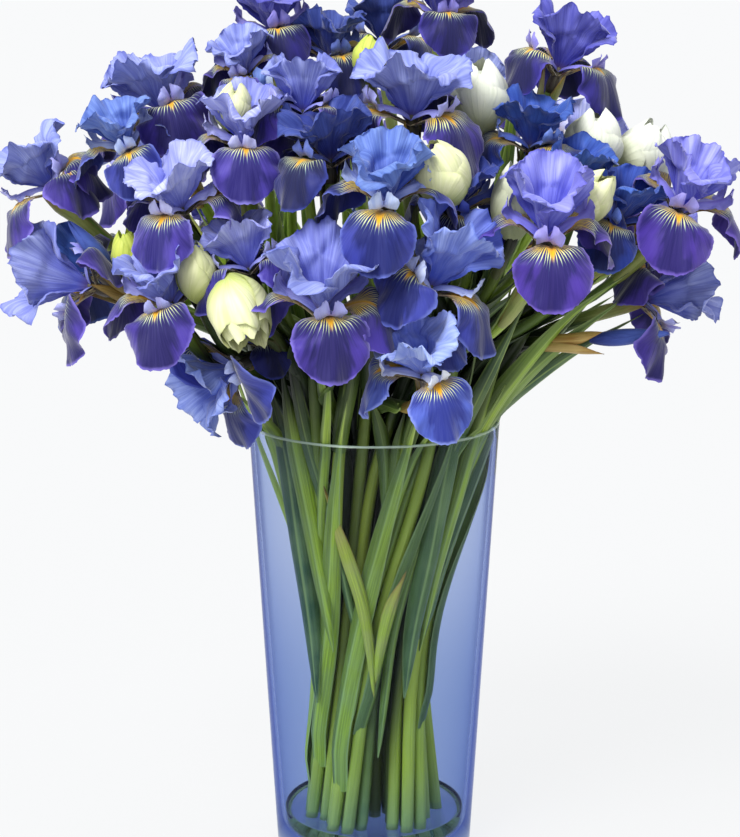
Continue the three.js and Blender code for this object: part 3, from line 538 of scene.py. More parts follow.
def greenMaterial(name, colours, streaks=0.6, blotches=0.4, dryTip=0.0, pale=None, hem=None):
    # colours: yellow-green, blue-green, streak and blotch; pale: the colours of what stands in the vase,
    # partly their own paler colour and partly painted light against the glass's tint; hem: the colour of
    # a leaf's margin and keel, partly a painted highlight
    look = newMaterial(name, {"Specular IOR Level": 0.4, "Coat Weight": 0.12, "Coat Roughness": 0.3})
    tree = look[1]
    marks = useGroup(tree, leafStreaks, Across=130.0, Along=2.0)
    across, along = uvParts(tree, "petalEdge")
    tone = attribute(tree, "petalTone")
    fresh, cool, streak, blotch = colours
    colour = mixed(tree, tone, fresh, cool)
    if pale:
        height = heightOf(tree)
        # partly painted light: paler and brighter below the rim; near the floor, painted blue-green of the
        # glass foot
        colour = layered(tree, colour, (ramp(tree, height, 0.25, 0.35, 0.85, 0.0), mixed(tree, tone, *pale)),
                         (ramp(tree, height, 0.015, 0.07, 0.5, 0.0), (88, 146, 132)))
    colour = layered(tree, colour, ((marks["Streaks"], streaks), streak),
                     ((marks["Blotches"], blotches), blotch))
    if hem:
        edge = useGroup(tree, petalRim, Width=1.1)["Rim"]
        colour = layered(tree, colour, ((edge, 0.85), hem),
                         # painted shade: one half of each leaf is darker, as the side of its fold turned from
                         # the light
                         (ramp(tree, across, 0.47, 0.53, 0.0, 0.5), (36, 72, 42)),
                         (ramp(tree, offMiddle(tree, across), 0.0, 0.07, 0.45, 0.0), hem))
    if dryTip:
        papery = useGroup(tree, petalRim, Width=0.9)["Rim"]
        colour = layered(tree, colour, ((ramp(tree, along, 0.55, 1.0), dryTip), (188, 152, 66)),
                         ((papery, 0.6), (156, 112, 54)))
    return finishMaterial(look, colour, (marks["Streaks"], 0.38, 0.55), marks["Streaks"], 0.3, (38, 54, 36))


def budMaterial(name, colours):
    petal, foot, folds = colours
    look = newMaterial(name, {**petalSheen, "Sheen Weight": 0.15})
    tree = look[1]
    veins = useGroup(tree, petalVeins, Count=16.0)
    rim = useGroup(tree, petalRim, Width=1.2)["Rim"]
    low = ramp(tree, uvParts(tree, "petalEdge")[1], 0.05, 0.6, 0.9, 0.0)
    low = plus(tree, low, times(tree, veins["Mottle"], 0.25))
    colour = layered(tree, petal, (low, foot), ((veins["Veins"], 0.3), folds), ((rim, 0.35), folds))
    return finishMaterial(look, colour, (veins["Mottle"], 0.45, 0.6), veins["Veins"], 0.3, (206, 208, 180))


petalLooks = {
    name: [finish(name + part, palette) for part, finish in (
        ("Standard", standardMaterial), ("Fall", fallMaterial), ("Style", styleMaterial))]
    for name, palette in palettes.items()
}
stemGreen = greenMaterial("stemGreen", [(180, 214, 60), (84, 130, 76), (74, 112, 26), (204, 222, 104)],
                          streaks=0.3, blotches=0.2, pale=[(244, 255, 70), (58, 112, 66)])
leafGreen = greenMaterial("leafGreen", [(174, 212, 62), (54, 96, 66), (30, 62, 24), (166, 192, 112)],
                          streaks=0.42, blotches=0.3, pale=[(214, 242, 60), (60, 104, 74)],
                          hem=(190, 216, 120))
spatheGreen = greenMaterial("spatheGreen", [(178, 196, 86), (146, 164, 94), (104, 126, 54), (200, 194, 120)],
                            dryTip=0.7, pale=[(214, 232, 60), (176, 208, 70)])
spatheDry = greenMaterial("spatheDry", [(216, 176, 66), (190, 160, 92), (150, 96, 34), (226, 206, 130)],
                          dryTip=0.6)
clawBrown = greenMaterial("clawBrown", [(96, 92, 66), (84, 70, 84), (66, 40, 44), (128, 124, 84)])
budLooks = {
    "cream": budMaterial("creamBud", [(246, 246, 206), (214, 226, 128), (196, 208, 128)]),
    "white": budMaterial("whiteBud", [(244, 246, 236), (214, 224, 188), (196, 204, 190)]),
    "green": budMaterial("greenBud", [(214, 224, 104), (166, 196, 44), (128, 162, 38)]),
    "blue": budMaterial("blueBud", [(78, 102, 190), (46, 62, 140), (34, 48, 128)]),
}
print("materials made:", len(bpy.data.materials))

# Irises. Each bloom: its heart, the way its axis leans, the turn of its first fall from the viewer's side
# towards the right, its size, how far its standards flare, and its palette.
blooms = [
    ("iris_centre_front", (-31, -135, 392), (0, -0.35, 0.93), 8, 1.08, 38, "violet"),
    ("iris_right_front", (103, -115, 433), (0.05, -0.35, 0.93), 0, 1.05, 28, "lilac"),
    ("iris_upper_centre", (23, -70, 502), (0.03, -0.3, 0.95), 48, 1.1, 42, "violet"),
    ("iris_blue_centre", (7, -125, 456), (0, -0.4, 0.9), -5, 1, 34, "steel"),
    ("iris_low_pale", (30, -130, 354), (-0.2, -0.5, 0.8), 25, 0.92, 30, "mist"),
    ("iris_side_centre", (32, -120, 405), (0.45, -0.25, 0.85), 80, 1, 25, "periwinkle"),
    ("iris_left_front", (-124, -105, 392), (-0.25, -0.35, 0.9), -10, 1, 34, "violet"),
    ("iris_far_right", (190, -60, 445), (0.35, -0.3, 0.88), -5, 1.05, 32, "lilac"),
    ("iris_left_round", (-78, -75, 484), (-0.05, -0.3, 0.95), 0, 0.98, 36, "pale"),
    ("iris_upper_left", (-133, -20, 502), (-0.3, -0.2, 0.93), 25, 1.05, 40, "violet"),
    ("iris_far_left", (-205, -30, 456), (-0.55, -0.25, 0.8), 45, 0.95, 40, "violet"),
    ("iris_left_middle", (-117, -95, 449), (-0.2, -0.35, 0.9), -25, 0.92, 40, "pale"),
    ("iris_left_small", (-152, -60, 483), (-0.35, -0.35, 0.87), 10, 0.82, 36, "steel"),
    ("iris_top_left", (-64, 0, 551), (-0.1, -0.15, 1), 10, 0.9, 40, "indigo"),
    ("iris_top_small", (-81, -35, 529), (-0.2, -0.4, 0.9), -10, 0.68, 38, "violet"),
    ("iris_back_view", (-44, -70, 506), (0, -0.1, 1), 60, 0.82, 30, "violet"),
    ("iris_top_centre", (42, 0, 561), (0.05, -0.2, 0.95), 10, 0.86, 42, "indigo"),
    ("iris_top_right", (117, -10, 528), (0.3, -0.1, 0.95), 60, 1, 32, "indigo"),
    ("iris_blue_left", (-27, -95, 478), (-0.05, -0.2, 0.97), -40, 0.92, 36, "navy"),
    ("iris_round_left", (-76, -100, 413), (-0.25, -0.1, 0.95), 180, 0.82, 30, "pale"),
    ("iris_blue_high", (98, -50, 483), (0.05, -0.2, 0.97), 30, 0.86, 34, "azure"),
    ("iris_blue_inner", (122, -66, 458), (0.2, -0.3, 0.93), -30, 0.8, 34, "azure"),
    ("iris_blue_right", (151, -60, 437), (0.3, -0.3, 0.9), -20, 0.85, 34, "azure"),
    ("iris_right_side", (172, -30, 384), (0.93, -0.15, 0.3), 45, 0.92, 24, "violet"),
    ("iris_left_side", (-178, -50, 396), (-0.93, -0.15, 0.3), -42, 0.95, 26, "violet"),
    ("iris_low_left", (-84, -85, 352), (-0.75, -0.45, -0.35), 4, 0.9, 36, "periwinkle"),
    ("iris_blue_deep", (50, -86, 447), (0.1, -0.3, 0.95), 0, 0.86, 34, "navy"),
    ("iris_blue_low", (-71, -64, 362), (-0.3, -0.3, 0.9), 20, 0.66, 34, "navy"),
    ("iris_blue_top", (-28, -10, 537), (0, -0.2, 1), 20, 0.78, 34, "navy"),
    ("iris_rear_left", (-150, 80, 452), (-0.5, 0.35, 0.8), 190, 1, 36, "violet"),
    ("iris_rear_upper_left", (-82, 96, 492), (-0.25, 0.4, 0.88), 175, 1, 34, "steel"),
    ("iris_rear_centre", (-14, 116, 468), (-0.1, 0.4, 0.9), 230, 1, 32, "lilac"),
    ("iris_rear_upper_right", (64, 104, 494), (0.2, 0.4, 0.9), 170, 1, 36, "violet"),
    ("iris_rear_right", (138, 84, 462), (0.45, 0.35, 0.85), 180, 1, 34, "pale"),
    ("iris_rear_low_left", (-96, 128, 404), (-0.35, 0.6, 0.7), 185, 0.95, 32, "indigo"),
    ("iris_rear_low", (4, 140, 388), (0, 0.65, 0.75), 175, 0.95, 32, "periwinkle"),
    ("iris_rear_low_right", (98, 124, 398), (0.35, 0.6, 0.7), 190, 0.95, 32, "violet"),
    ("iris_outer_left", (-186, 36, 392), (-0.8, 0.2, 0.5), 200, 0.92, 30, "azure"),
    ("iris_outer_right", (180, 44, 410), (0.75, 0.25, 0.6), 160, 0.95, 32, "lilac"),
    ("iris_crown", (8, 62, 540), (0, 0.15, 1), 180, 0.9, 34, "navy"),
]
# Buds: centre of the foot, lean, height, width, look, and the bloom whose stem carries one that has no own.
buds = [
    ("bud_upper_left", (-88, -64, 496), (0.1, -0.1, 1), 28, 24, "cream", None),
    ("bud_top_green", (-3, -36, 526), (0.1, -0.1, 1), 26, 24, "green", None),
    ("bud_cream_centre", (47, -106, 456), (-0.35, -0.35, 0.9), 40, 34, "cream", None),
    ("bud_white_upper", (66, -34, 492), (0, -0.1, 1), 44, 38, "white", "iris_upper_centre"),
    ("bud_white_middle", (84, -90, 432), (0.05, -0.1, 1), 44, 28, "white", None),
    ("bud_cream_right", (121, -82, 443), (0.6, -0.35, 0.8), 36, 28, "cream", None),
    ("bud_white_right", (138, -34, 468), (0.05, -0.1, 1), 38, 36, "white", None),
    ("bud_white_far_right", (166, -14, 456), (0.35, -0.1, 1), 42, 38, "white", None),
    ("bud_cream_left", (-106, -106, 396), (-0.1, -0.3, 1), 36, 24, "cream", None),
    ("bud_cream_low", (-72, -118, 384), (-0.2, -0.75, 0.1), 42, 36, "cream", None),
    ("bud_small_left", (-58, -92, 402), (0.1, -0.2, 1), 22, 15, "cream", "iris_round_left"),
    ("bud_green_left", (-150, -64, 404), (-0.2, -0.2, 1), 30, 22, "green", "iris_left_small"),
    ("bud_blue_left", (-160, -52, 400), (-0.6, -0.15, 0.75), 44, 16, "blue", "iris_left_side"),
    ("bud_blue_right", (128, -52, 362), (1, -0.1, 0.1), 52, 14, "blue", "iris_right_side"),
]
branches = {"iris_blue_low": "iris_low_left"}  # a bloom on a branch of another's stem
slots = {part["node"]: part["material_slot"] for part in frame["record"]["subparts"]}
heads = [
    {"name": name, "at": np.array(at, float), "axis": unit(lean), "turn": turn, "size": size, "flare": flare,
     "look": look, "branch": branches.get(name)}
    for name, at, lean, turn, size, flare, look in blooms
] + [
    {"name": name, "at": np.array(at, float), "axis": unit(lean), "size": 0, "height": height,
     "width": width, "look": look, "branch": branch}
    for name, at, lean, height, width, look, branch in buds
]

# Petals at size 1. The margin comes from the half widths at the stations and the sag of the sides; cup is
# the angle, in radians, by which the sides turn back at the foot, the middle and the tip; ruffles are
# waves round the margin, each with its count, height and depth; pleats are folds that fan out; rise is how
# far up the heart the petal starts.
petalForms = {
    "fall": {
        "length": 66, "width": 47, "sag": 0.14, "notch": 0.012, "middle": 0.6, "serration": 0.01,
        "stations": [0, 0.12, 0.22, 0.3, 0.4, 0.5, 0.65, 0.8, 0.92, 1],
        "halves": [0.15, 0.15, 0.22, 0.42, 0.74, 0.92, 1, 0.96, 0.86, 0.7],
        "cup": [-0.9, 0.5, 0.75], "ruffles": [(5, 2.4, 12), (9, 0.9, 6), (23, 0.35, 3)],
        "pleats": (2.2, 0.6), "crease": 0.8, "thick": 0.6, "rise": -1.5,
        "front": (34, 33), "middleRow": (26, 23), "rear": (18, 17)},
    "standard": {
        "length": 48, "width": 50, "sag": 0.2, "notch": 0.05, "middle": 0.6, "serration": 0.02,
        "stations": [0, 0.1, 0.25, 0.45, 0.65, 0.8, 0.92, 1],
        "halves": [0.13, 0.16, 0.42, 0.78, 0.97, 1, 0.9, 0.74],
        "cup": [0.9, 0.6, -0.4], "ruffles": [(3, 3.8, 18), (7, 2.0, 9), (14, 1.0, 5), (29, 0.6, 2.6)],
        "pleats": (3.6, 1.6), "crease": 0.6, "thick": 0.5, "rise": 1.5,
        "front": (34, 33), "middleRow": (26, 23), "rear": (18, 17)},
    "style": {
        "length": 37, "width": 17, "sag": 0.08, "notch": 0.3, "middle": 0.7, "serration": 0.04,
        "stations": [0, 0.2, 0.45, 0.6, 0.76, 0.9, 1],
        "halves": [0.42, 0.5, 0.56, 0.72, 1, 0.94, 0.6],
        "cup": [0.9, 0.8, -0.7], "ruffles": [(7, 1.0, 4), (15, 0.5, 2)],
        "pleats": (2.0, 0.3), "crease": -0.8, "thick": 0.9, "rise": 2.5,
        "front": (19, 13), "middleRow": (14, 9), "rear": (10, 7)},
}
longStandards = {"iris_left_side": 1.3, "iris_right_side": 1.2, "iris_low_left": 1.15, "iris_low_pale": 1.05,
                 "iris_centre_front": 1.12, "iris_right_front": 1.1, "iris_side_centre": 1.2}
# The way a petal runs, in degrees from the axis: a fall's launch and where it bends to hang, with the parts
# outward, along the axis and upward of its hang; a standard's opening, with a flare that is less the more it
# faces the viewer; and a style's bends outward and back.
petalPath = {"launch": 56, "fallBend": (0.14, 0.78), "hang": (0.3, -0.3, -0.75), "opening": (0.35, 0.8),
             "faced": (1.35, 0.45), "styleStart": 50, "styleOut": 26, "styleBack": 80, "twist": 14,
             "standOff": 1.5}
spineSteps = 60
spineSpare = 6  # steps beyond the tip, for waves that reach past it
fallTurns = {"iris_centre_front": (8, 80, 240), "iris_far_left": (48, 80, -60),
             "iris_low_pale": (22, 150, 262)}
heart = {"heights": (-12.3, -9, -5, -1, 3, 6), "radii": (3.4, 4.4, 4.2, 3.6, 3.2, 1.6), "sides": 12}
bloomRows = {"front": 12, "rear": 11}  # how many blooms of the table stand at the front and at the back
waiting = []  # pieces that are laid once the shade in the bouquet is known


def bloomFrame(head):
    # The directions round a head's axis, by their turn from the viewer's side to the right.
    axis = head["axis"]
    front = unit(towardViewer - axis * (towardViewer @ axis))
    right = np.cross(axis, front)
    return axis, lambda turn: front * math.cos(math.radians(turn)) + right * math.sin(math.radians(turn))


def petalSpine(kind, head, turn, draw):
    # The line down a petal's middle, with the directions along it, across it and out of its face.
    axis, outAt = bloomFrame(head)
    out = outAt(turn + draw.uniform(-5, 5))
    share = (np.arange(spineSteps + spineSpare) + 0.5) / spineSteps
    if kind == "fall":
        launch = math.radians(petalPath["launch"] + draw.uniform(-6, 6))
        outward, axial, upward = petalPath["hang"]
        hang = unit(outward * out + axial * axis + upward * up)
        start = axis * math.cos(launch) + out * math.sin(launch)
        blend = smooth(*petalPath["fallBend"], share)[:, None]
        ways = unit(start * (1 - blend) + hang * blend)
    else:
        if kind == "standard":
            (most, less), (foot, tip) = petalPath["faced"], petalPath["opening"]
            flare = head["flare"] * (most - less * max(0, float(out @ towardViewer))) + draw.uniform(-6, 6)
            angle = flare * (foot + tip * share) + draw.uniform(-22, 18) * smooth(0.6, 1, share)
        else:
            angle = petalPath["styleStart"] + petalPath["styleOut"] * smooth(0, 0.5, share)
            angle = angle - (petalPath["styleBack"] + draw.uniform(-15, 15)) * smooth(0.5, 0.95, share)
        angle = np.radians(angle)[:, None]
        ways = axis * np.cos(angle) + out * np.sin(angle)
    start = head["at"] + out * petalPath["standOff"] + axis * (petalForms[kind]["rise"] * head["size"])
    step = petalForms[kind]["length"] * head["size"] / spineSteps
    if kind == "standard":
        step *= longStandards.get(head["name"], 1)
    centres = np.concatenate([[start], start + np.cumsum(ways * step, axis=0)])
    along = unit(np.concatenate([ways[:1], (ways[:-1] + ways[1:]) / 2, ways[-1:]]))
    sideways = np.cross(axis, out)
    side = unit(sideways - (along @ sideways)[:, None] * along)
    face = np.cross(along, side) * (-1 if kind == "standard" else 1)
    most = petalPath["twist"]
    twist = (math.radians(draw.uniform(-most, most)) * np.arange(len(centres)) / spineSteps)[:, None]
    turnedSide = side * np.cos(twist) + face * np.sin(twist)
    return centres, turnedSide, face * np.cos(twist) - side * np.sin(twist)


def petalPatch(kind, head, turn, seed, detail, material):
    form, draw = petalForms[kind], np.random.default_rng(seed)
    length, size = form["length"], head["size"]
    u, t = sheetGrid(*form[detail])
    half = curveThrough(form["stations"], form["halves"], t) * form["width"] / 2 * draw.uniform(0.94, 1.06)
    reach = 1 - form["sag"] * u**2 * t**1.5 - form["notch"] * np.exp(-((u / 0.2) ** 2)) * t**5
    x, y = u * half, length * t * reach
    near = toMargin(u, t, half, length)
    middle = form["middle"] * length
    turnAt = np.arctan2(x, y - middle)
    hem = np.exp(-((near / 2.5) ** 2)) * smooth(0.25, 0.5, t)
    teeth = np.sin(31 * turnAt + draw.uniform(0, 6)) + 0.7 * np.sin(47 * turnAt + draw.uniform(0, 6))
    scale = 1 + form["serration"] * hem * teeth
    x, y = x * scale, middle + (y - middle) * scale
    bend = np.zeros(u.shape)
    for count, height, depth in form["ruffles"]:
        wave = np.sin(count * draw.uniform(0.85, 1.15) * turnAt + draw.uniform(0, 6.3))
        bend += height * draw.uniform(0.6, 1.3) * wave * np.exp(-((near / depth) ** 2)) * smooth(0.2, 0.5, t)
    pleats, height = form["pleats"]
    bend += height * np.sin(pleats * math.pi * u + draw.uniform(0, 6.3)) * smooth(0.15, 0.9, t)
    bend -= form["crease"] * np.exp(-((x / 1.6) ** 2)) * (1 - 0.7 * smooth(0.4, 0.9, t))
    across, back = folded(x, curveThrough([0, 0.5, 1], form["cup"], t) / (form["width"] / 2))
    centres, side, face = (alongLine(y / length * spineSteps, np.arange(len(line)), line)
                           for line in petalSpine(kind, head, turn, draw))
    grid = centres + unit(side) * (across * size)[..., None] + unit(face) * ((bend - back) * size)[..., None]
    return closedShell(grid, form["thick"] * (1.6 - t), (x, y), u, t, near, draw.uniform(0, 1), material)


def makeBloom(head, index):
    row = "front" if index < bloomRows["front"] else (
        "middleRow" if index < len(blooms) - bloomRows["rear"] else "rear")
    patches = []
    for i in range(3):
        turn, seed = head["turn"] + i * 120, index * 9 + i + 1
        fallTurn = fallTurns[head["name"]][i] if head["name"] in fallTurns else turn
        patches.append(petalPatch("fall", head, fallTurn, seed, row, 1))
        patches.append(petalPatch("style", head, turn, seed + 3, row, 2))
        patches.append(petalPatch("standard", head, turn + 60, seed + 6, row, 0))
    line = head["at"] + np.array(heart["heights"])[:, None] * head["size"] * head["axis"]
    patches.append(ringTube(line, np.array(heart["radii"]) * head["size"], heart["sides"], 0.5, 3))
    waiting.append((head["name"] + "_bloom", patches, petalLooks[head["look"]] + [clawBrown],
                    slots[head["name"]], head["name"]))


for index, head in enumerate(heads[: len(blooms)]):
    makeBloom(head, index)
print("blooms made:", len(blooms))

# Buds: petals wrapped round each other, their lips ruffled
budForms = {
    "open": {"fullness": [0.3, 0.8, 1.0, 0.96, 0.84], "inner": [0.3, 0.7, 0.84, 0.76, 0.6], "wave": 0.1,
             "tall": 1.06, "tongue": 0.12},
    "plump": {"fullness": [0.34, 0.84, 1.0, 0.9, 0.46], "inner": [0.3, 0.74, 0.9, 0.76, 0.32], "wave": 0.035,
              "tall": 1.06, "tongue": 0.24},
    "rolled": {"fullness": [0.4, 0.9, 1.0, 0.72, 0.2], "inner": [0.4, 0.8, 0.9, 0.6, 0.1], "wave": 0.02,
               "tall": 1.05, "tongue": 0.24},
}
budGrid = (15, 15)
budThick = 0.9
budWrap = {"inner": 66, "outer": 78, "outerTall": (0.86, 1.0), "roundness": 2.6}  # how far round to each side
budNeck = {"stations": 14, "radii": (3.4, 3.0), "sides": 10, "tone": 0.4}
budStations = [0, 0.25, 0.5, 0.78, 1]  # of the fullness, from foot to tip
budCore = {"heights": (0, 0.15, 0.4, 0.7, 0.9), "radii": (0.2, 0.5, 0.7, 0.5, 0.1)}
slimmer = {"width": 0.7, "height": 0.94, "forward": 0.18}  # what a blue bud is of its solid
seeds = {"outerPetal": 900, "innerPetal": 950, "stem": 2000, "spathe": 3000, "sword": 4000, "collar": 5000,
         "vase": 6000, "fan": 7000}


def budPetal(head, form, inner, turn, seed):
    draw = np.random.default_rng(seed)
    axis, outAt = bloomFrame(head)
    u, t = sheetGrid(*budGrid)
    lip = smooth(0.55, 1, t)
    half = head["width"] / 2
    tall = head["height"] * (form["tall"] if inner else draw.uniform(*budWrap["outerTall"]))
    height = tall * t * (1 - form["tongue"] * np.abs(u) ** budWrap["roundness"] * t)
    height += tall * form["wave"] * lip * (np.sin(4 * u + draw.uniform(0, 6)) + 0.25 * np.sin(13 * u))
    full = curveThrough(budStations, form["inner" if inner else "fullness"], t)
    radius = half * full * (1 + 0.07 * u + lip * form["wave"] * np.sin(7 * u + draw.uniform(0, 6)))
    angle = np.radians(turn + u * budWrap["inner" if inner else "outer"])
    around = np.cos(angle)[..., None] * outAt(0) + np.sin(angle)[..., None] * outAt(90)
    grid = head["at"] + height[..., None] * axis + radius[..., None] * around
    near = toMargin(u, t, half, tall)
    return closedShell(grid, budThick, (u * half, t * tall), u, t, near, draw.uniform(0, 1), 0)


# Buds that nod: the foot, the lean, and the points of the neck from the stem's end
nodding = {"bud_cream_low": {"at": (-88, -113, 412), "lean": (0.3, -0.5, -0.8),
                             "neck": [(-71, -104, 385), (-78, -98, 400), (-86, -99, 412), (-88, -108, 413)]}}


def makeBud(head, index):
    form = budForms["rolled" if head["look"] == "blue" else "open" if head["name"] in nodding else "plump"]
    patches = []
    if head["look"] == "blue":
        head = {**head, "width": head["width"] * slimmer["width"],
                "height": head["height"] * slimmer["height"],
                "at": head["at"] + head["axis"] * head["height"] * slimmer["forward"]}
    if head["name"] in nodding:
        pose = nodding[head["name"]]
        head = {**head, "at": np.array(pose["at"], float), "axis": unit(pose["lean"])}
        count = budNeck["stations"]
        neck = curveThrough([0, 1, 2, 3], pose["neck"], np.linspace(0, 3, count))
        radii = np.linspace(*budNeck["radii"], count)
        patches.append(ringTube(neck, radii, budNeck["sides"], budNeck["tone"], 0))
    for i in range(3):
        turn, seed = i * 120 + index * 40, index * 9 + i
        patches.append(budPetal(head, form, False, turn, seeds["outerPetal"] + seed))
        patches.append(budPetal(head, form, True, turn + 60, seeds["innerPetal"] + seed))
    line = head["at"] + np.array(budCore["heights"])[:, None] * head["height"] * head["axis"]
    patches.append(ringTube(line, np.array(budCore["radii"]) * head["width"] / 2, 12, 0.5, 0))
    waiting.append((head["name"] + "_petals", patches, [budLooks[head["look"]]], slots[head["name"]],
                    head["name"]))


for index, head in enumerate(heads[len(blooms):]):
    makeBud(head, index)
print("buds made:", len(buds))

# Stems: they stand on the vase's floor, are narrowest at the waist and fan out at the rim
vase = {"height": 300, "rimRadius": 84, "footRadius": 66.8, "rimWall": 3, "footWall": 6, "floor": 14,
        "edgeRound": 1.5, "footEdge": 3, "floorCorner": 5, "sides": 144}
water = {"level": 26, "gap": 0.3, "sideGap": 1,
         "rim": [(0, 0.6), (1, 0.1), (3, -0.2)]}  # inward from its side, and above its level
stemPlan = {"waist": 146, "spacing": 8.8, "clusterSpacing": 27.5, "pairShift": 6.1, "perCluster": 7,
            "spread": (1.3, 1.0, 1.95), "twist": (-60, -35, 0), "clearance": 9.4, "heartClearance": 12,
            "turns": 80, "turnBack": 20, "steepest": 75, "aimedFrom": 0.8}
stemForm = {"radii": [4.3, 4.4, 4.0, 3.7, 3.4], "stations": 40, "sides": 10, "sheath": 46, "gap": 0.3,
            "footDrop": 12, "handle": 0.36, "bends": (0.34, 0.7, 1), "ridge": 0.04}
sheathSwell = {"at": 20, "length": 15, "radius": 5, "share": 0.8}  # below a head, for scale 1
neckForm = {"length": 12, "radius": 3.6, "slope": 0.12}


def clusterCentre(cluster):
    if cluster == 0:
        return (0.0, 0.0)
    shift = stemPlan["pairShift"] if cluster % 2 == 1 else -stemPlan["pairShift"]
    return onCircle(stemPlan["clusterSpacing"], math.radians((cluster - 1) * 60 + shift))


def planPoint(cluster, stem):
    centre = clusterCentre(cluster)
    return centre if stem == 0 else onCircle(stemPlan["spacing"], math.radians((stem - 1) * 60 + 30), centre)


def inVase(plan, z):
    # Every height scales and turns the same plan of the stems, so that no two of them cross.
    waist = stemPlan["waist"]
    above = z > waist
    share = (z - waist) / (vase["height"] - waist) if above else (waist - z) / waist
    outer = 2 if above else 0
    spread, twist = stemPlan["spread"], stemPlan["twist"]
    scale = spread[1] + (spread[outer] - spread[1]) * share**1.5
    angle = math.radians(twist[1] + (twist[outer] - twist[1]) * share)
    x, y = plan
    return [(x * math.cos(angle) - y * math.sin(angle)) * scale,
            (x * math.sin(angle) + y * math.cos(angle)) * scale, z]


def headFoot(head):
    return head["at"] - head["axis"] * (stemForm["footDrop"] * head["size"] + stemForm["gap"])


def wantedPlan(head):
    x, y, z = head["at"]
    above = z - vase["height"] * stemPlan["aimedFrom"]
    steepness = math.atan2(math.hypot(x, y), above) / math.radians(stemPlan["steepest"])
    radius = (stemPlan["clusterSpacing"] + stemPlan["spacing"]) * min(1, steepness)
    return onCircle(radius, math.atan2(y, x) - math.radians(stemPlan["turnBack"]))


def bendTo(start, before, head):
    # The free part of a stem: from the rim, in the way it already runs, round to its head's axis.
    start, foot = np.array(start, float), headFoot(head)
    reach = np.linalg.norm(foot - start) * stemForm["handle"]
    second = start + unit(start - np.array(before, float)) * reach
    third = foot - head["axis"] * reach
    return [
        list(start * (1 - s)**3 + second * 3 * s * (1 - s)**2 + third * 3 * s * s * (1 - s) + foot * s**3)
        for s in stemForm["bends"]
    ]


def nearestPoints(p, q, r, s):
    # The nearest points of two segments.
    f = [q[k] - p[k] for k in range(3)]
    g = [s[k] - r[k] for k in range(3)]
    b = [p[k] - r[k] for k in range(3)]
    ff, gg, fg = (sum(m * n for m, n in zip(*pair)) for pair in ((f, f), (g, g), (f, g)))
    fb, gb = (sum(m * n for m, n in zip(*pair)) for pair in ((f, b), (g, b)))
    spare = ff * gg - fg * fg
    first = min(1, max(0, (fg * gb - fb * gg) / spare)) if spare > 1e-9 else 0.5
    second = min(1, max(0, (fg * first + gb) / gg))
    first = min(1, max(0, (fg * second - fb) / ff))
    return [p[k] + f[k] * first for k in range(3)], [r[k] + g[k] * second for k in range(3)]


def apartBy(boxA, boxB, limit):
    return any(boxA[0][k] > boxB[1][k] + limit or boxB[0][k] > boxA[1][k] + limit for k in range(3))


def boxOf(points):
    return [min(p[k] for p in points) for k in range(3)], [max(p[k] for p in points) for k in range(3)]


def shove(stem, index, way):
    points = stem["points"]
    for end in (index, index + 1):
        if stem["fixed"] <= end < len(points) - 1:
            points[end] = [points[end][k] + way[k] for k in range(3)]
    stem["box"] = boxOf(points[stem["fixed"] - 1:])


def separate(first, second):
    limit = stemPlan["clearance"]
    for i in range(first["fixed"] - 1, len(first["points"]) - 1):
        for j in range(second["fixed"] - 1, len(second["points"]) - 1):
            ends, others = first["points"][i:i + 2], second["points"][j:j + 2]
            if apartBy(boxOf(ends), boxOf(others), limit):
                continue
            a, b = nearestPoints(*ends, *others)
            apart = math.dist(a, b)
            if apart >= limit or apart < 1e-6:
                continue
            way = [(a[k] - b[k]) * (limit - apart) / apart / 4 for k in range(3)]
            shove(first, i, way)
            shove(second, j, [-w for w in way])


def keepOff(stem, centre):
    limit = stemPlan["heartClearance"]
    for i in range(stem["fixed"] - 1, len(stem["points"]) - 1):
        near, _ = nearestPoints(stem["points"][i], stem["points"][i + 1], centre, [c + 1e-7 for c in centre])
        apart = math.dist(near, centre)
        if 1e-6 <= apart < limit:
            shove(stem, i, [(near[k] - centre[k]) * (limit - apart) / apart / 2 for k in range(3)])


def makeStems():
    free = [(cluster, stem, planPoint(cluster, stem)) for cluster in range(7)
            for stem in range(stemPlan["perCluster"])]
    own = sorted((head for head in heads if not head["branch"]),
                 key=lambda head: -math.hypot(*wantedPlan(head)))
    stems = []
    for head in own:
        wanted = wantedPlan(head)
        free.sort(key=lambda slot: math.dist(slot[2], wanted))
        cluster, stem, plan = free.pop(0)
        points = [inVase(plan, z) for z in (vase["floor"] + stemForm["gap"], stemPlan["waist"],
                                           vase["height"])]
        points += bendTo(points[-1], points[-2], head)
        stems.append({"head": head, "cluster": cluster, "stem": stem, "plan": plan, "points": points,
                      "fixed": 3, "box": boxOf(points[2:])})
    hearts = [(head, [float(c) for c in head["at"]]) for head in heads if head["size"]]
    for _ in range(stemPlan["turns"]):
        for i, stem in enumerate(stems):
            for other in stems[:i]:
                if not apartBy(stem["box"], other["box"], stemPlan["clearance"]):
                    separate(stem, other)
            for head, centre in hearts:
                if head is not stem["head"] and not apartBy(stem["box"], (centre, centre),
                                                               stemPlan["heartClearance"]):
                    keepOff(stem, centre)
    for head in heads:
        if head["branch"]:
            host = next(stem for stem in stems if stem["head"]["name"] == head["branch"])
            start, before = host["points"][host["fixed"]], host["points"][host["fixed"] - 1]
            stems.append({"head": head, "cluster": host["cluster"], "stem": -1, "plan": host["plan"],
                          "points": [start] + bendTo(start, before, head), "fixed": 1})
    return stems


def stemCurve(stem):
    # The stem's points drawn as one smooth line.
    points = np.array(stem["points"], float)
    lengths = lengthsOf(points)
    at = np.linspace(0, lengths[-1], stemForm["stations"])
    return curveThrough(lengths, points, at), at, lengths


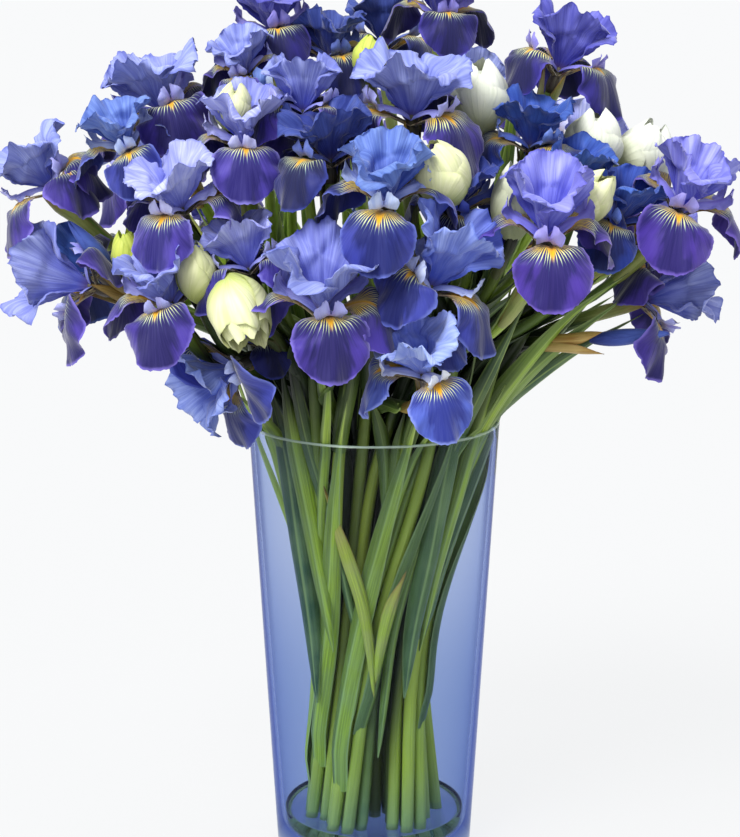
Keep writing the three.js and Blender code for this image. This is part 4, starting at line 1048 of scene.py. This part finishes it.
def stemPatch(stem, seed):
    draw = np.random.default_rng(seed)
    path, at, lengths = stemCurve(stem)
    scale = stem["head"]["size"] or 0.8
    radii = np.interp(at, lengths[:-1], stemForm["radii"][-(len(lengths) - 1):])
    sheath = at[-1] - at
    swell = np.exp(-((sheath - sheathSwell["at"] * scale) / (sheathSwell["length"] * scale)) ** 2)
    radii = radii + swell * (sheathSwell["radius"] * scale - radii) * sheathSwell["share"]
    neck = np.minimum(radii, neckForm["radius"] * scale + sheath * neckForm["slope"])
    radii = np.where(sheath < neckForm["length"] * scale, neck, radii)
    bluish = float(smooth(-30, 70, path[len(path) // 3][0])) * 0.3 + draw.choice([0.0, 0.08, 0.3, 0.6])
    return ringTube(path, radii, stemForm["sides"], bluish, 0, stemForm["ridge"])


# Blades: sword leaves and the papery spathes under the heads. Each has its half width along it, the angle,
# in radians, by which its sides fold at its foot and tip, its grid, and its thickness, wave and keel.
leafShape = [0.9, 1, 1, 1, 0.97, 0.9, 0.78, 0.6, 0.38, 0.16, 0.01]
standingShape = [0.06, 0.3, 0.56, 0.78, 0.92, 1, 1, 0.98, 0.9, 0.78, 0.6, 0.38, 0.16, 0.01]
spatheShape = [0.6, 0.85, 1, 1, 0.95, 0.84, 0.66, 0.42, 0.2, 0.01]
bladeForms = {
    "sword": {"shape": leafShape, "fold": (0.9, 0.5), "grid": (34, 9),
              "thick": 1.3, "wave": 0.8, "keel": 2.2},
    "collar": {"shape": leafShape, "fold": (1.7, 0.6), "grid": (17, 7),
               "thick": 1.0, "wave": 0.6, "keel": 1.8},
    "vase": {"shape": standingShape, "fold": (2.6, 0.5), "grid": (28, 7),
             "thick": 1.2, "wave": 0.8, "keel": 2.0},
    "fan": {"shape": standingShape, "fold": (2.2, 0.4), "grid": (24, 7),
            "thick": 1.2, "wave": 0.9, "keel": 2.0},
    "spathe": {"shape": spatheShape, "fold": (2.4, 0.9), "grid": (13, 8),
               "thick": 0.8, "wave": 0.5, "keel": 0.0},
}


def bladePatch(kind, centres, outs, width, tone, seed, material=1):
    # A blade along a line of points, whose back faces the way, or the ways, out.
    form, draw = bladeForms[kind], np.random.default_rng(seed)
    centres = np.array(centres)
    outs = np.broadcast_to(outs, centres.shape)
    u, t = sheetGrid(*form["grid"])
    known, shares = np.linspace(0, 1, len(centres)), t[:, 0]
    path, away = alongLine(shares, known, centres), alongLine(shares, known, outs)
    along = unit(np.gradient(path, axis=0))
    away = unit(away - (along * away).sum(-1, keepdims=True) * along)
    side = np.cross(away, along)
    half = np.interp(t, np.linspace(0, 1, len(form["shape"])), form["shape"]) * width / 2
    x, (foot, tip) = u * half, form["fold"]
    across, back = folded(x, (foot + (tip - foot) * t) / (width / 2))
    bend = form["wave"] * np.sin(9 * t + draw.uniform(0, 6) + u) * np.abs(u)
    bend += form["keel"] * (1 - np.abs(u)) * (1 - t * t) - back
    points = path[:, None] + side[:, None] * across[..., None] + away[:, None] * bend[..., None]
    length = lengthsOf(path)[-1]
    near = toMargin(u, t, half, length)
    return closedShell(points, form["thick"], (x, t * length), u, t, near, tone, material)


# Sword leaves: cluster and stem that carry each, start and end height, width, swing and lean of the tip.
leaves = [
    (1, 6, 150, 372, 13, 0, 24), (1, 1, 90, 352, 14, 10, 20), (2, 1, 60, 318, 13, 0, 10),
    (2, 2, 100, 366, 14, 0, 20), (3, 2, 80, 340, 13, -10, 16), (3, 3, 130, 372, 12, 10, 22),
    (4, 3, 70, 322, 14, 0, 10), (4, 4, 110, 376, 13, 0, 20), (5, 4, 40, 262, 15, -10, 4),
    (5, 5, 60, 330, 16, 0, 6), (6, 5, 50, 345, 17, 0, 8), (6, 6, 90, 388, 13, 20, 18),
    (5, 3, 150, 352, 12, 0, 20), (6, 1, 140, 398, 13, 0, 26), (0, 5, 60, 236, 13, 0, 3),
    (0, 4, 150, 330, 12, 0, 8),
]


swordForm = {"stations": 24, "above": 40, "foot": 1, "off": 6.2, "leaving": 0.12}


def leafPatch(leaf, stem, seed):
    cluster, _, low, high, width, swing, lean = leaf
    draw = np.random.default_rng(seed)
    x, y = clusterCentre(cluster)
    outward = math.atan2(stem["plan"][1] - y, stem["plan"][0] - x) + math.radians(swing)
    path = stemCurve(stem)[0]
    centres, outs = [], []
    for share in np.linspace(0, 1, swordForm["stations"]):
        z = low + (high - low) * share
        away = unit(np.array(inVase(onCircle(1, outward), min(z, vase["height"]))) * (1, 1, 0))
        highest = min(z, vase["height"] + swordForm["above"])
        beside = np.array([*alongLine(highest, path[:, 2], path[:, :2]), z])
        leaving = float(smooth(0, swordForm["leaving"], share))
        off = swordForm["foot"] + swordForm["off"] * leaving + lean * share**3
        centres.append(beside + away * off)
        outs.append(away)
    tone = float(smooth(-40, 60, centres[12][0])) * 0.7 + draw.uniform(0, 0.3)
    return bladePatch("sword", centres, outs, width, tone, seed)


dryHeads = {"bud_blue_right", "bud_blue_left", "iris_left_side", "iris_low_left", "iris_low_pale",
            "iris_side_centre", "iris_upper_left"}
# Spathes under a bloom, a bud and a rolled bud: the head's width at scale 1, how far a spathe reaches past
# its foot, how wide it is and how far off it stands. A rolled bud's turns are given, the others' are drawn.
spatheForms = {"bloom": (1, 16, 17, 1), "bud": (38, 8, 17, 1), "rolled": (26, 34, 27, 2.2)}
rolledTurns = (-40, 50)
spatheOff = {"foot": 3.6, "second": 2.2, "slope": 1.5, "tip": 4}  # how far off it stands along it


def spathePatches(stem, seed):
    # Two papery bracts that wrap the foot of a head.
    draw = np.random.default_rng(seed)
    head = stem["head"]
    kind = "bloom" if head["size"] else "rolled" if head["look"] == "blue" else "bud"
    fullWidth, past, width, standOff = spatheForms[kind]
    scale = head["size"] or head["width"] / fullWidth
    axis, outAt = bloomFrame(head)
    path, at, _ = stemCurve(stem)
    patches = []
    for i, turn in enumerate((draw.uniform(0, 180), draw.uniform(180, 360))):
        out = outAt(rolledTurns[i] if kind == "rolled" else turn)
        reach = stemForm["sheath"] * scale * draw.uniform(0.8, 1.1)
        shares = np.linspace(0, 1, 12)
        ahead = shares * (reach + past * scale) - reach
        beside = alongLine(at[-1] - np.clip(-ahead, 0, None), at, path)
        off = spatheOff["foot"] + spatheOff["second"] * i + spatheOff["slope"] * shares
        off = (off + spatheOff["tip"] * shares**4 * draw.uniform(0.3, 1)) * scale * standOff
        centres = beside + np.clip(ahead, 0, None)[:, None] * axis + out * off[:, None]
        patches.append(bladePatch("spathe", centres, out, width * scale, draw.uniform(0, 1), seed + i,
                                  3 if head["name"] in dryHeads else 2))
    return patches


collarLeaves = {"starts": ((-10, 10), (10, 40), (40, 70)), "reach": (80, 130), "belowHead": 26, "least": 40,
                "off": 3.2, "lean": (2, 14), "width": (12, 18), "stations": 16}


def collarPatches(stem, seed):
    # Leaves that clasp the free part of a stem and lean away from it.
    draw = np.random.default_rng(seed)
    path, at, lengths = stemCurve(stem)
    patches = []
    for start in [draw.uniform(*pair) for pair in collarLeaves["starts"]]:
        low = lengths[2] + start
        reach = min(draw.uniform(*collarLeaves["reach"]), at[-1] - low - collarLeaves["belowHead"])
        if reach < collarLeaves["least"]:
            continue
        shares = np.linspace(0, 1, collarLeaves["stations"])
        out = np.array([*onCircle(1, draw.uniform(0, 2 * math.pi)), 0.0])
        off = collarLeaves["off"] + draw.uniform(*collarLeaves["lean"]) * shares**2.5
        centres = alongLine(low + shares * reach, at, path) + out * off[:, None]
        tone = float(smooth(-60, 80, centres[8][0])) * 0.6 + draw.uniform(0, 0.4)
        patches.append(bladePatch("collar", centres, out, draw.uniform(*collarLeaves["width"]), tone, seed))
    return patches


vaseLeaves = {"count": 9, "radius": 40, "low": (60, 170), "high": (250, 385), "width": (10, 16),
              "lean": (2, 18), "glassGap": 3.5, "glassSlope": 0.067, "step": 15}


def vaseLeaf(number):
    # A leaf that stands outside the stems in the vase, on the same plan, and may rise past the rim.
    seed = seeds["vase"] + number
    draw = np.random.default_rng(seed)
    angle = (number + draw.uniform(-0.4, 0.4)) * 2 * math.pi / vaseLeaves["count"]
    plan = onCircle(vaseLeaves["radius"], angle)
    low, high, lean, width = (draw.uniform(*vaseLeaves[key]) for key in ("low", "high", "lean", "width"))
    centres, outs, step = [], [], vaseLeaves["step"]
    for share in np.linspace(0, 1, 26):
        z = low + (high - low) * share
        inside = min(z, vase["height"])
        at, before = np.array(inVase(plan, inside)), np.array(inVase(plan, inside - step))
        most = vase["footRadius"] - vase["footWall"] - vaseLeaves["glassGap"]
        most += inside * vaseLeaves["glassSlope"]
        reach = math.hypot(at[0], at[1])
        away = np.array([at[0] / reach, at[1] / reach, 0.0])
        at[:2] *= min(1, most / reach)
        bent = share**3 if z > inside else 0
        centres.append(at + (at - before) * (z - inside) / step + away * lean * bent)
        outs.append(away)
    tone = draw.uniform(0, 0.6) + float(smooth(-50, 50, centres[12][0])) * 0.4
    return bladePatch("vase", centres, outs, width, tone, seed), math.degrees(angle)


# Leaves that fan out over the rim: width, tone and the points of the line down the middle.
fanLeaves = [
    (18, 0.95, [(20, -5, 120), (48, -15, 220), (70, -26, 298), (112, -36, 340), (144, -42, 362),
                (172, -46, 378)]),
    (20, 0.05, [(24, -18, 130), (46, -28, 230), (68, -40, 300), (100, -52, 350), (128, -56, 382),
                (160, -60, 407)]),
    (18, 0.9, [(30, 6, 150), (58, 0, 250), (76, -6, 304), (112, -12, 352), (142, -18, 392)]),
    (20, 0.5, [(26, -10, 140), (50, -22, 232), (70, -33, 299), (104, -44, 344), (134, -50, 370),
               (162, -52, 392)]),
    (17, 0.0, [(34, -4, 150), (56, -12, 240), (75, -20, 302), (106, -30, 348), (132, -36, 378),
               (150, -40, 402)]),
    (16, 0.9, [(28, 10, 150), (54, 12, 240), (74, 12, 300), (104, 8, 342), (136, 4, 368), (160, 0, 384)]),
    (16, 0.9, [(10, -30, 150), (34, -44, 240), (56, -54, 303), (78, -62, 352), (98, -66, 395)]),
    (15, 0.1, [(0, -36, 180), (22, -50, 262), (38, -60, 308), (54, -66, 360), (66, -70, 400)]),
    (14, 0.2, [(-20, -12, 140), (-44, -26, 232), (-64, -40, 298), (-80, -50, 320), (-94, -56, 332)]),
    (14, 0.8, [(-10, -34, 150), (-28, -48, 240), (-44, -58, 302), (-52, -66, 345), (-60, -70, 385)]),
    (13, 0.5, [(8, -54, 240), (5, -64, 300), (-3, -70, 332)]),
    (10, 0.3, [(11, -56, 236), (15, -66, 296), (20, -71, 324)]),
    (16, 0.8, [(40, 20, 150), (64, 26, 262), (76, 30, 304), (98, 34, 352), (128, 34, 396)]),
    (16, 0.5, [(-30, 20, 150), (-58, 26, 262), (-72, 30, 304), (-98, 30, 352), (-124, 26, 388)]),
    (15, 0.4, [(10, 40, 150), (16, 60, 262), (20, 72, 304), (26, 96, 352), (30, 112, 384)]),
    (22, 0.95, [(-38, -28, 110), (-42, -30, 160), (-49, -33, 216), (-60, -38, 296), (-72, -40, 345)]),
    (18, 0.15, [(-27, -40, 150), (-34, -43, 190), (-44, -46, 250), (-53, -52, 300), (-60, -56, 352)]),
    (22, 0.8, [(20, -46, 120), (25, -47, 160), (36, -48, 216), (50, -54, 296), (64, -60, 352)]),
    (15, 0.1, [(30, -38, 150), (40, -37, 200), (56, -40, 262), (66, -44, 300), (82, -50, 352)]),
    (12, 0.0, [(0, -44, 120), (-3, -50, 156), (-9, -55, 190), (-19, -58, 224), (-33, -60, 270)], 2),
    (11, 0.2, [(1, -46, 130), (5, -54, 160), (12, -60, 190), (21, -60, 212)], 2),
    (18, 0.5, [(-10, 24, 200), (-22, 40, 300), (-38, 44, 380), (-52, 40, 476)]),
    (18, 0.2, [(8, 16, 200), (4, 24, 300), (-10, 26, 380), (-24, 18, 480)]),
    (18, 0.8, [(18, 16, 200), (30, 26, 300), (44, 28, 380), (56, 26, 436)]),
    (17, 0.6, [(-20, 0, 200), (-44, -8, 300), (-70, -14, 360), (-84, -18, 392)]),
    (16, 0.3, [(26, -6, 200), (40, -14, 300), (54, -18, 370), (64, -20, 410)]),
    (17, 0.7, [(20, 14, 200), (44, 10, 300), (61, 8, 380), (74, 4, 450)]),
    (18, 0.2, [(30, -20, 200), (58, -30, 300), (86, -40, 346), (110, -46, 384)]),
    (17, 0.4, [(-20, 0, 200), (-37, -6, 300), (-52, -10, 376), (-62, -12, 440)]),
    (19, 0.6, [(20, 14, 200), (50, 18, 300), (76, 14, 400), (90, 8, 520)]),
    (18, 0.1, [(30, 2, 200), (66, 0, 300), (104, -8, 370), (140, -14, 424)]),
    (16, 0.3, [(-4, -8, 200), (-10, -20, 300), (-12, -26, 360), (-14, -28, 404)]),
    (16, 0.7, [(0, 0, 200), (0, 4, 300), (-24, 0, 380), (-34, -6, 452)]),
    (20, 0.4, [(20, 10, 200), (46, 12, 300), (74, 12, 400), (88, 8, 470), (94, 4, 540)]),
    (20, 0.3, [(30, 0, 200), (62, 2, 300), (96, -4, 366), (120, -12, 410), (134, -8, 446), (142, 0, 476)]),
]


def fanLeaf(leaf, seed):
    width, tone, points, material = (*leaf, 1)[:4]
    points = np.array(points, float)
    lengths = lengthsOf(points)
    centres = curveThrough(lengths, points, np.linspace(0, lengths[-1], 24))
    outs = unit(centres * (0.4, 0.4, 0) + (0, -50 if centres[-1][1] < 0 else 50, 0.1))
    return bladePatch("fan", centres, outs, width, tone, seed, material)


stems = makeStems()
print("stems laid:", len(stems))


def bundleAt(angle):
    return (int(1 + round(angle / 60) % 6) + 1) // 2


for bundle, bundleName in enumerate(("middle", "right", "back", "front")):
    patches = []
    for index, stem in enumerate(stems):
        if (stem["cluster"] + 1) // 2 == bundle:
            patches.append(stemPatch(stem, seeds["stem"] + index))
            patches += spathePatches(stem, seeds["spathe"] + index * 5)
            if stem["fixed"] > 1:
                patches += collarPatches(stem, seeds["collar"] + index)
    for index, leaf in enumerate(leaves):
        host = next((s for s in stems if (s["cluster"], s["stem"]) == leaf[:2]), None)
        if host and (leaf[0] + 1) // 2 == bundle:
            patches.append(leafPatch(leaf, host, seeds["sword"] + index))
    for number in range(vaseLeaves["count"]):
        patch, angle = vaseLeaf(number)
        if bundleAt(angle) == bundle:
            patches.append(patch)
    for index, leaf in enumerate(fanLeaves):
        middle = leaf[2][len(leaf[2]) // 2]
        if bundleAt(math.degrees(math.atan2(middle[1], middle[0])) % 360) == bundle:
            patches.append(fanLeaf(leaf, seeds["fan"] + index))
    waiting.append((f"stalks_{bundleName}", patches, [stemGreen, leafGreen, spatheGreen, spatheDry], "stem",
                    f"stems_{bundleName}"))
print("stems and leaves made")

# Shade in the bouquet: how much of the sky each place sees past the petals, leaves and stems round it
shade = {"box": 9.0, "reach": 9, "start": 1.4, "ways": 22, "goldenTurn": 2.39996, "fromAbove": 0.6,
         "open": 0.42, "closed": 0.92, "vaseTop": (250, 320), "stalks": 1.15, "outermost": 4,
         "vaseDepth": (0.98, 0.68), "vaseRise": (20, 160), "vaseFoot": 0.6}


def shadeBoxes(patches):
    # The share of the sky that is hidden from each small box of space.
    side, spare = shade["box"], shade["reach"] + 1
    corners = np.concatenate([patch["points"][patch["quads"]] for patch in patches])
    cross = np.cross(corners[:, 2] - corners[:, 0], corners[:, 3] - corners[:, 1])
    areas, centres = np.linalg.norm(cross, axis=1) / 2, corners.mean(1)
    low = centres.min(0) - spare * side
    shape = np.ceil((centres.max(0) - low) / side).astype(int) + spare
    place = np.floor((centres - low) / side).astype(int)
    flat = np.ravel_multi_index(place.T, shape)
    thick = np.bincount(flat, areas, int(shape.prod())).reshape(shape) / 4 / side**2
    hidden, weights = np.zeros(shape), 0.0
    for k in range(shade["ways"]):
        z = 1 - (2 * k + 1) / shade["ways"]
        turn, level = k * shade["goldenTurn"], math.sqrt(1 - z * z)
        way = np.array([*onCircle(level, turn), z])
        depth = np.zeros(shape)
        for step in range(shade["reach"]):
            shift = np.rint(-way * (step + shade["start"])).astype(int)
            depth += np.roll(thick, tuple(shift), (0, 1, 2))
        weight = 1 + shade["fromAbove"] * z
        hidden += weight * (1 - np.exp(-depth))
        weights += weight
    return low, hidden / weights


def shadeAt(points, low, hidden):
    place = (points - low) / shade["box"] - 0.5
    corner = np.floor(place).astype(int)
    part, total = place - corner, np.zeros(len(points))
    for way in np.ndindex(2, 2, 2):
        weight = np.prod(np.where(way, part, 1 - part), axis=1)
        total += weight * hidden[tuple((corner + way).T)]
    return smooth(shade["open"], shade["closed"], total)


def vaseShade(points):
    # In the vase the stems behind the outermost ones lie in their shade.
    height = np.clip(points[:, 2], 0, vase["height"])
    above = np.clip((height - stemPlan["waist"]) / (vase["height"] - stemPlan["waist"]), 0, 1)
    scale = 1 + (stemPlan["spread"][2] - 1) * above**1.5
    outer = (stemPlan["clusterSpacing"] + stemPlan["spacing"]) * scale + shade["outermost"]
    deep = smooth(*shade["vaseDepth"], np.hypot(points[:, 0], points[:, 1]) / outer)
    return deep * (shade["vaseFoot"] + (1 - shade["vaseFoot"]) * smooth(*shade["vaseRise"], height))


low, hidden = shadeBoxes([patch for piece in waiting for patch in piece[1]])
for piece in waiting:
    for patch in piece[1]:
        points = patch["points"]
        over = smooth(*shade["vaseTop"], points[:, 2])
        patch["shade"] = shadeAt(points, low, hidden) * over + vaseShade(points) * (1 - over)
        if piece[0].startswith("stalks"):
            patch["shade"] = np.clip(patch["shade"] * shade["stalks"], 0, 1)
    makePiece(*piece)
print("pieces laid:", len(waiting))

# Vase and water


def outerRadius(z):
    return vase["footRadius"] + (vase["rimRadius"] - vase["footRadius"]) * z / vase["height"]


def innerRadius(z):
    return outerRadius(z) - (vase["footWall"] + (vase["rimWall"] - vase["footWall"]) * z / vase["height"])


def arc(centre, radius, start, end, steps=6):
    return [onCircle(radius, angle, centre) for angle in np.radians(np.linspace(start, end, steps))]


def makeVase():
    edge, foot, corner, floor = vase["edgeRound"], vase["footEdge"], vase["floorCorner"], vase["floor"]
    shoulder = vase["height"] - edge
    profile = [(0, 0), (vase["footRadius"] * 0.5, 0)]
    profile += arc((outerRadius(foot) - foot, foot), foot, -90, 0)
    profile += [(outerRadius(z), z) for z in np.linspace(foot + 4, shoulder - 4, 24)]
    profile += arc((vase["rimRadius"] - vase["rimWall"] / 2, shoulder), edge, 0, 180, 9)
    profile += [(innerRadius(z), z) for z in np.linspace(shoulder - 4, floor + corner + 2, 24)]
    profile += arc((innerRadius(floor) - corner, floor + corner), corner, 0, -90)
    profile += [(innerRadius(floor) * 0.5, floor), (0, floor)]
    return makePiece("vase_body", [turnedForm(profile, vase["sides"])], [glassLook()], "vase_glass", "vase")


def clearLook(name, shader, ripple, passing):
    # Glass or water, whose surface ripples. Light that falls through to the stems isn't held back; what is
    # seen through is.
    look = newMaterial(name, shader)
    _, tree, surface, output = look
    place = vectorOf(tree, *uvParts(tree, "petalMap"))
    addBump(tree, surface, noise(tree, place, ripple[0]), *ripple[1:])
    path = addNode(tree, "ShaderNodeLightPath").outputs
    through = maths(tree, "MAXIMUM", path["Is Shadow Ray"], path["Is Diffuse Ray"])
    clear = addNode(tree, "ShaderNodeBsdfTransparent", {"Color": passing})
    both = addNode(tree, "ShaderNodeMixShader", {0: through, 1: surface.outputs[0], 2: clear.outputs[0]})
    tree.links.new(both.outputs[0], output.inputs["Surface"])
    return look, place, both


def glassLook():
    (material, tree, surface, output), place, body = clearLook(
        "blueGlass", {"Roughness": 0.02, "IOR": 1.03, "Transmission Weight": 1.0, "Coat Weight": 0.12,
                      "Coat Roughness": 0.03}, (2.4, 0.12, 0.002), (246, 248, 254))
    height = heightOf(tree)
    facing = addNode(tree, "ShaderNodeLayerWeight", {"Blend": 0.5}).outputs["Facing"]
    edge = times(tree, ramp(tree, facing, 0.66, 0.82), ramp(tree, height, 0.08, 0.3, 0.2, 0.9))
    tint = layered(tree, (210, 221, 239), (ramp(tree, height, 0.1, 0.235), (232, 237, 246)),
                   (ramp(tree, height, 0.012, 0.028, 1.0, 0.0), (214, 216, 208)), (edge, (92, 106, 158)))
    tree.links.new(tint, surface.inputs["Base Color"])
    # the rim's pale, rough band: partly the pale green of the glass's lip, partly a painted highlight
    rim = addNode(tree, "ShaderNodeBsdfPrincipled", {"Base Color": (206, 228, 210), "Roughness": 0.25,
                                                   "Specular IOR Level": 0.8})
    wobble = times(tree, noise(tree, place, 6.0), 0.0006)
    onRim = ramp(tree, plus(tree, height, wobble), 0.2987, 0.2995, 0.0, 0.6)
    both = addNode(tree, "ShaderNodeMixShader", {0: onRim, 1: body.outputs[0], 2: rim.outputs[0]})
    tree.links.new(both.outputs[0], output.inputs["Surface"])
    blue = addNode(tree, "ShaderNodeVolumeAbsorption", {"Color": (120, 160, 226), "Density": 50.0})
    tree.links.new(blue.outputs[0], output.inputs["Volume"])
    return material


def waterLook():
    look = clearLook("water", {"Base Color": (238, 243, 252), "Roughness": 0.01, "IOR": 1.33,
                               "Transmission Weight": 1.0}, (3.0, 0.1, 0.001), (250, 252, 255))
    return look[0][0]


def makeWater():
    foot, level = vase["floor"] + water["gap"], water["level"]
    corner, footRadius, levelRadius = (vase["floorCorner"], innerRadius(foot) - water["sideGap"],
                                       innerRadius(level) - water["sideGap"])
    profile = [(0, foot), (footRadius - corner, foot)]
    profile += arc((footRadius - corner, foot + corner), corner, -60, 0)
    profile += [(levelRadius - inward, level + above) for inward, above in water["rim"]]
    profile += [(0, profile[-1][1])]
    return makePiece("water_pool", [turnedForm(profile, 96)], [waterLook()], "water", "water")


makeVase()
makeWater()
print("vase and water made")

# Floor, sky and lights
light = {"sky": (250, 251, 252), "fill": 0.85, "sun": 3.2, "sunAngle": 30, "sunFrom": (-0.6, -0.8, 1.2),
         "floor": 0.07, "floorGlow": 0.874, "fromFloor": 0.8, "floorRadius": 40,
         "floorSides": 64}


def addStage():
    scene = bpy.context.scene
    scene.view_settings.view_transform = "Standard"
    mesh = bpy.data.meshes.new("floor")
    ring = [(*onCircle(light["floorRadius"], angle), 0)
            for angle in np.linspace(0, 2 * math.pi, light["floorSides"], endpoint=False)]
    mesh.from_pydata(ring, [], [list(range(len(ring)))])
    material, tree, surface, _ = newMaterial("paleFloor", {
        "Roughness": 0.7, "Specular IOR Level": 0.0, "Emission Strength": light["floorGlow"]})
    less = [c * light["fromFloor"] for c in linear(light["sky"])[:3]] + [1.0]
    soft = addNode(tree, "ShaderNodeLightPath").outputs["Is Diffuse Ray"]
    tree.links.new(mixed(tree, soft, light["sky"], less), surface.inputs["Emission Color"])
    grain = noise(tree, addNode(tree, "ShaderNodeTexCoord").outputs["Object"], 40.0)
    value = light["floor"]
    colour = mixed(tree, grain, [value, value, value * 1.005, 1], [value * 0.99, value * 0.99, value, 1])
    tree.links.new(colour, surface.inputs["Base Color"])
    mesh.materials.append(material)
    floor = addObject("floor", mesh)
    world = bpy.data.worlds.new("sky")
    world.use_nodes = True
    tree = world.node_tree
    sky = tree.nodes["Background"]
    sky.inputs["Color"].default_value = linear(light["sky"])
    soft = addNode(tree, "ShaderNodeLightPath").outputs["Is Diffuse Ray"]
    tree.links.new(ramp(tree, soft, 0.0, 1.0, 1.0, light["fill"]), sky.inputs["Strength"])
    scene.world = world
    sun = bpy.data.lights.new("softSun", "SUN")
    sun.energy, sun.angle = light["sun"], math.radians(light["sunAngle"])
    lamp = addObject("softSun", sun)
    towards = -unit(light["sunFrom"])
    lamp.rotation_euler = (math.acos(-towards[2]), 0, math.atan2(towards[1], towards[0]) + math.pi * 1.5)


addStage()
print("stage lit")
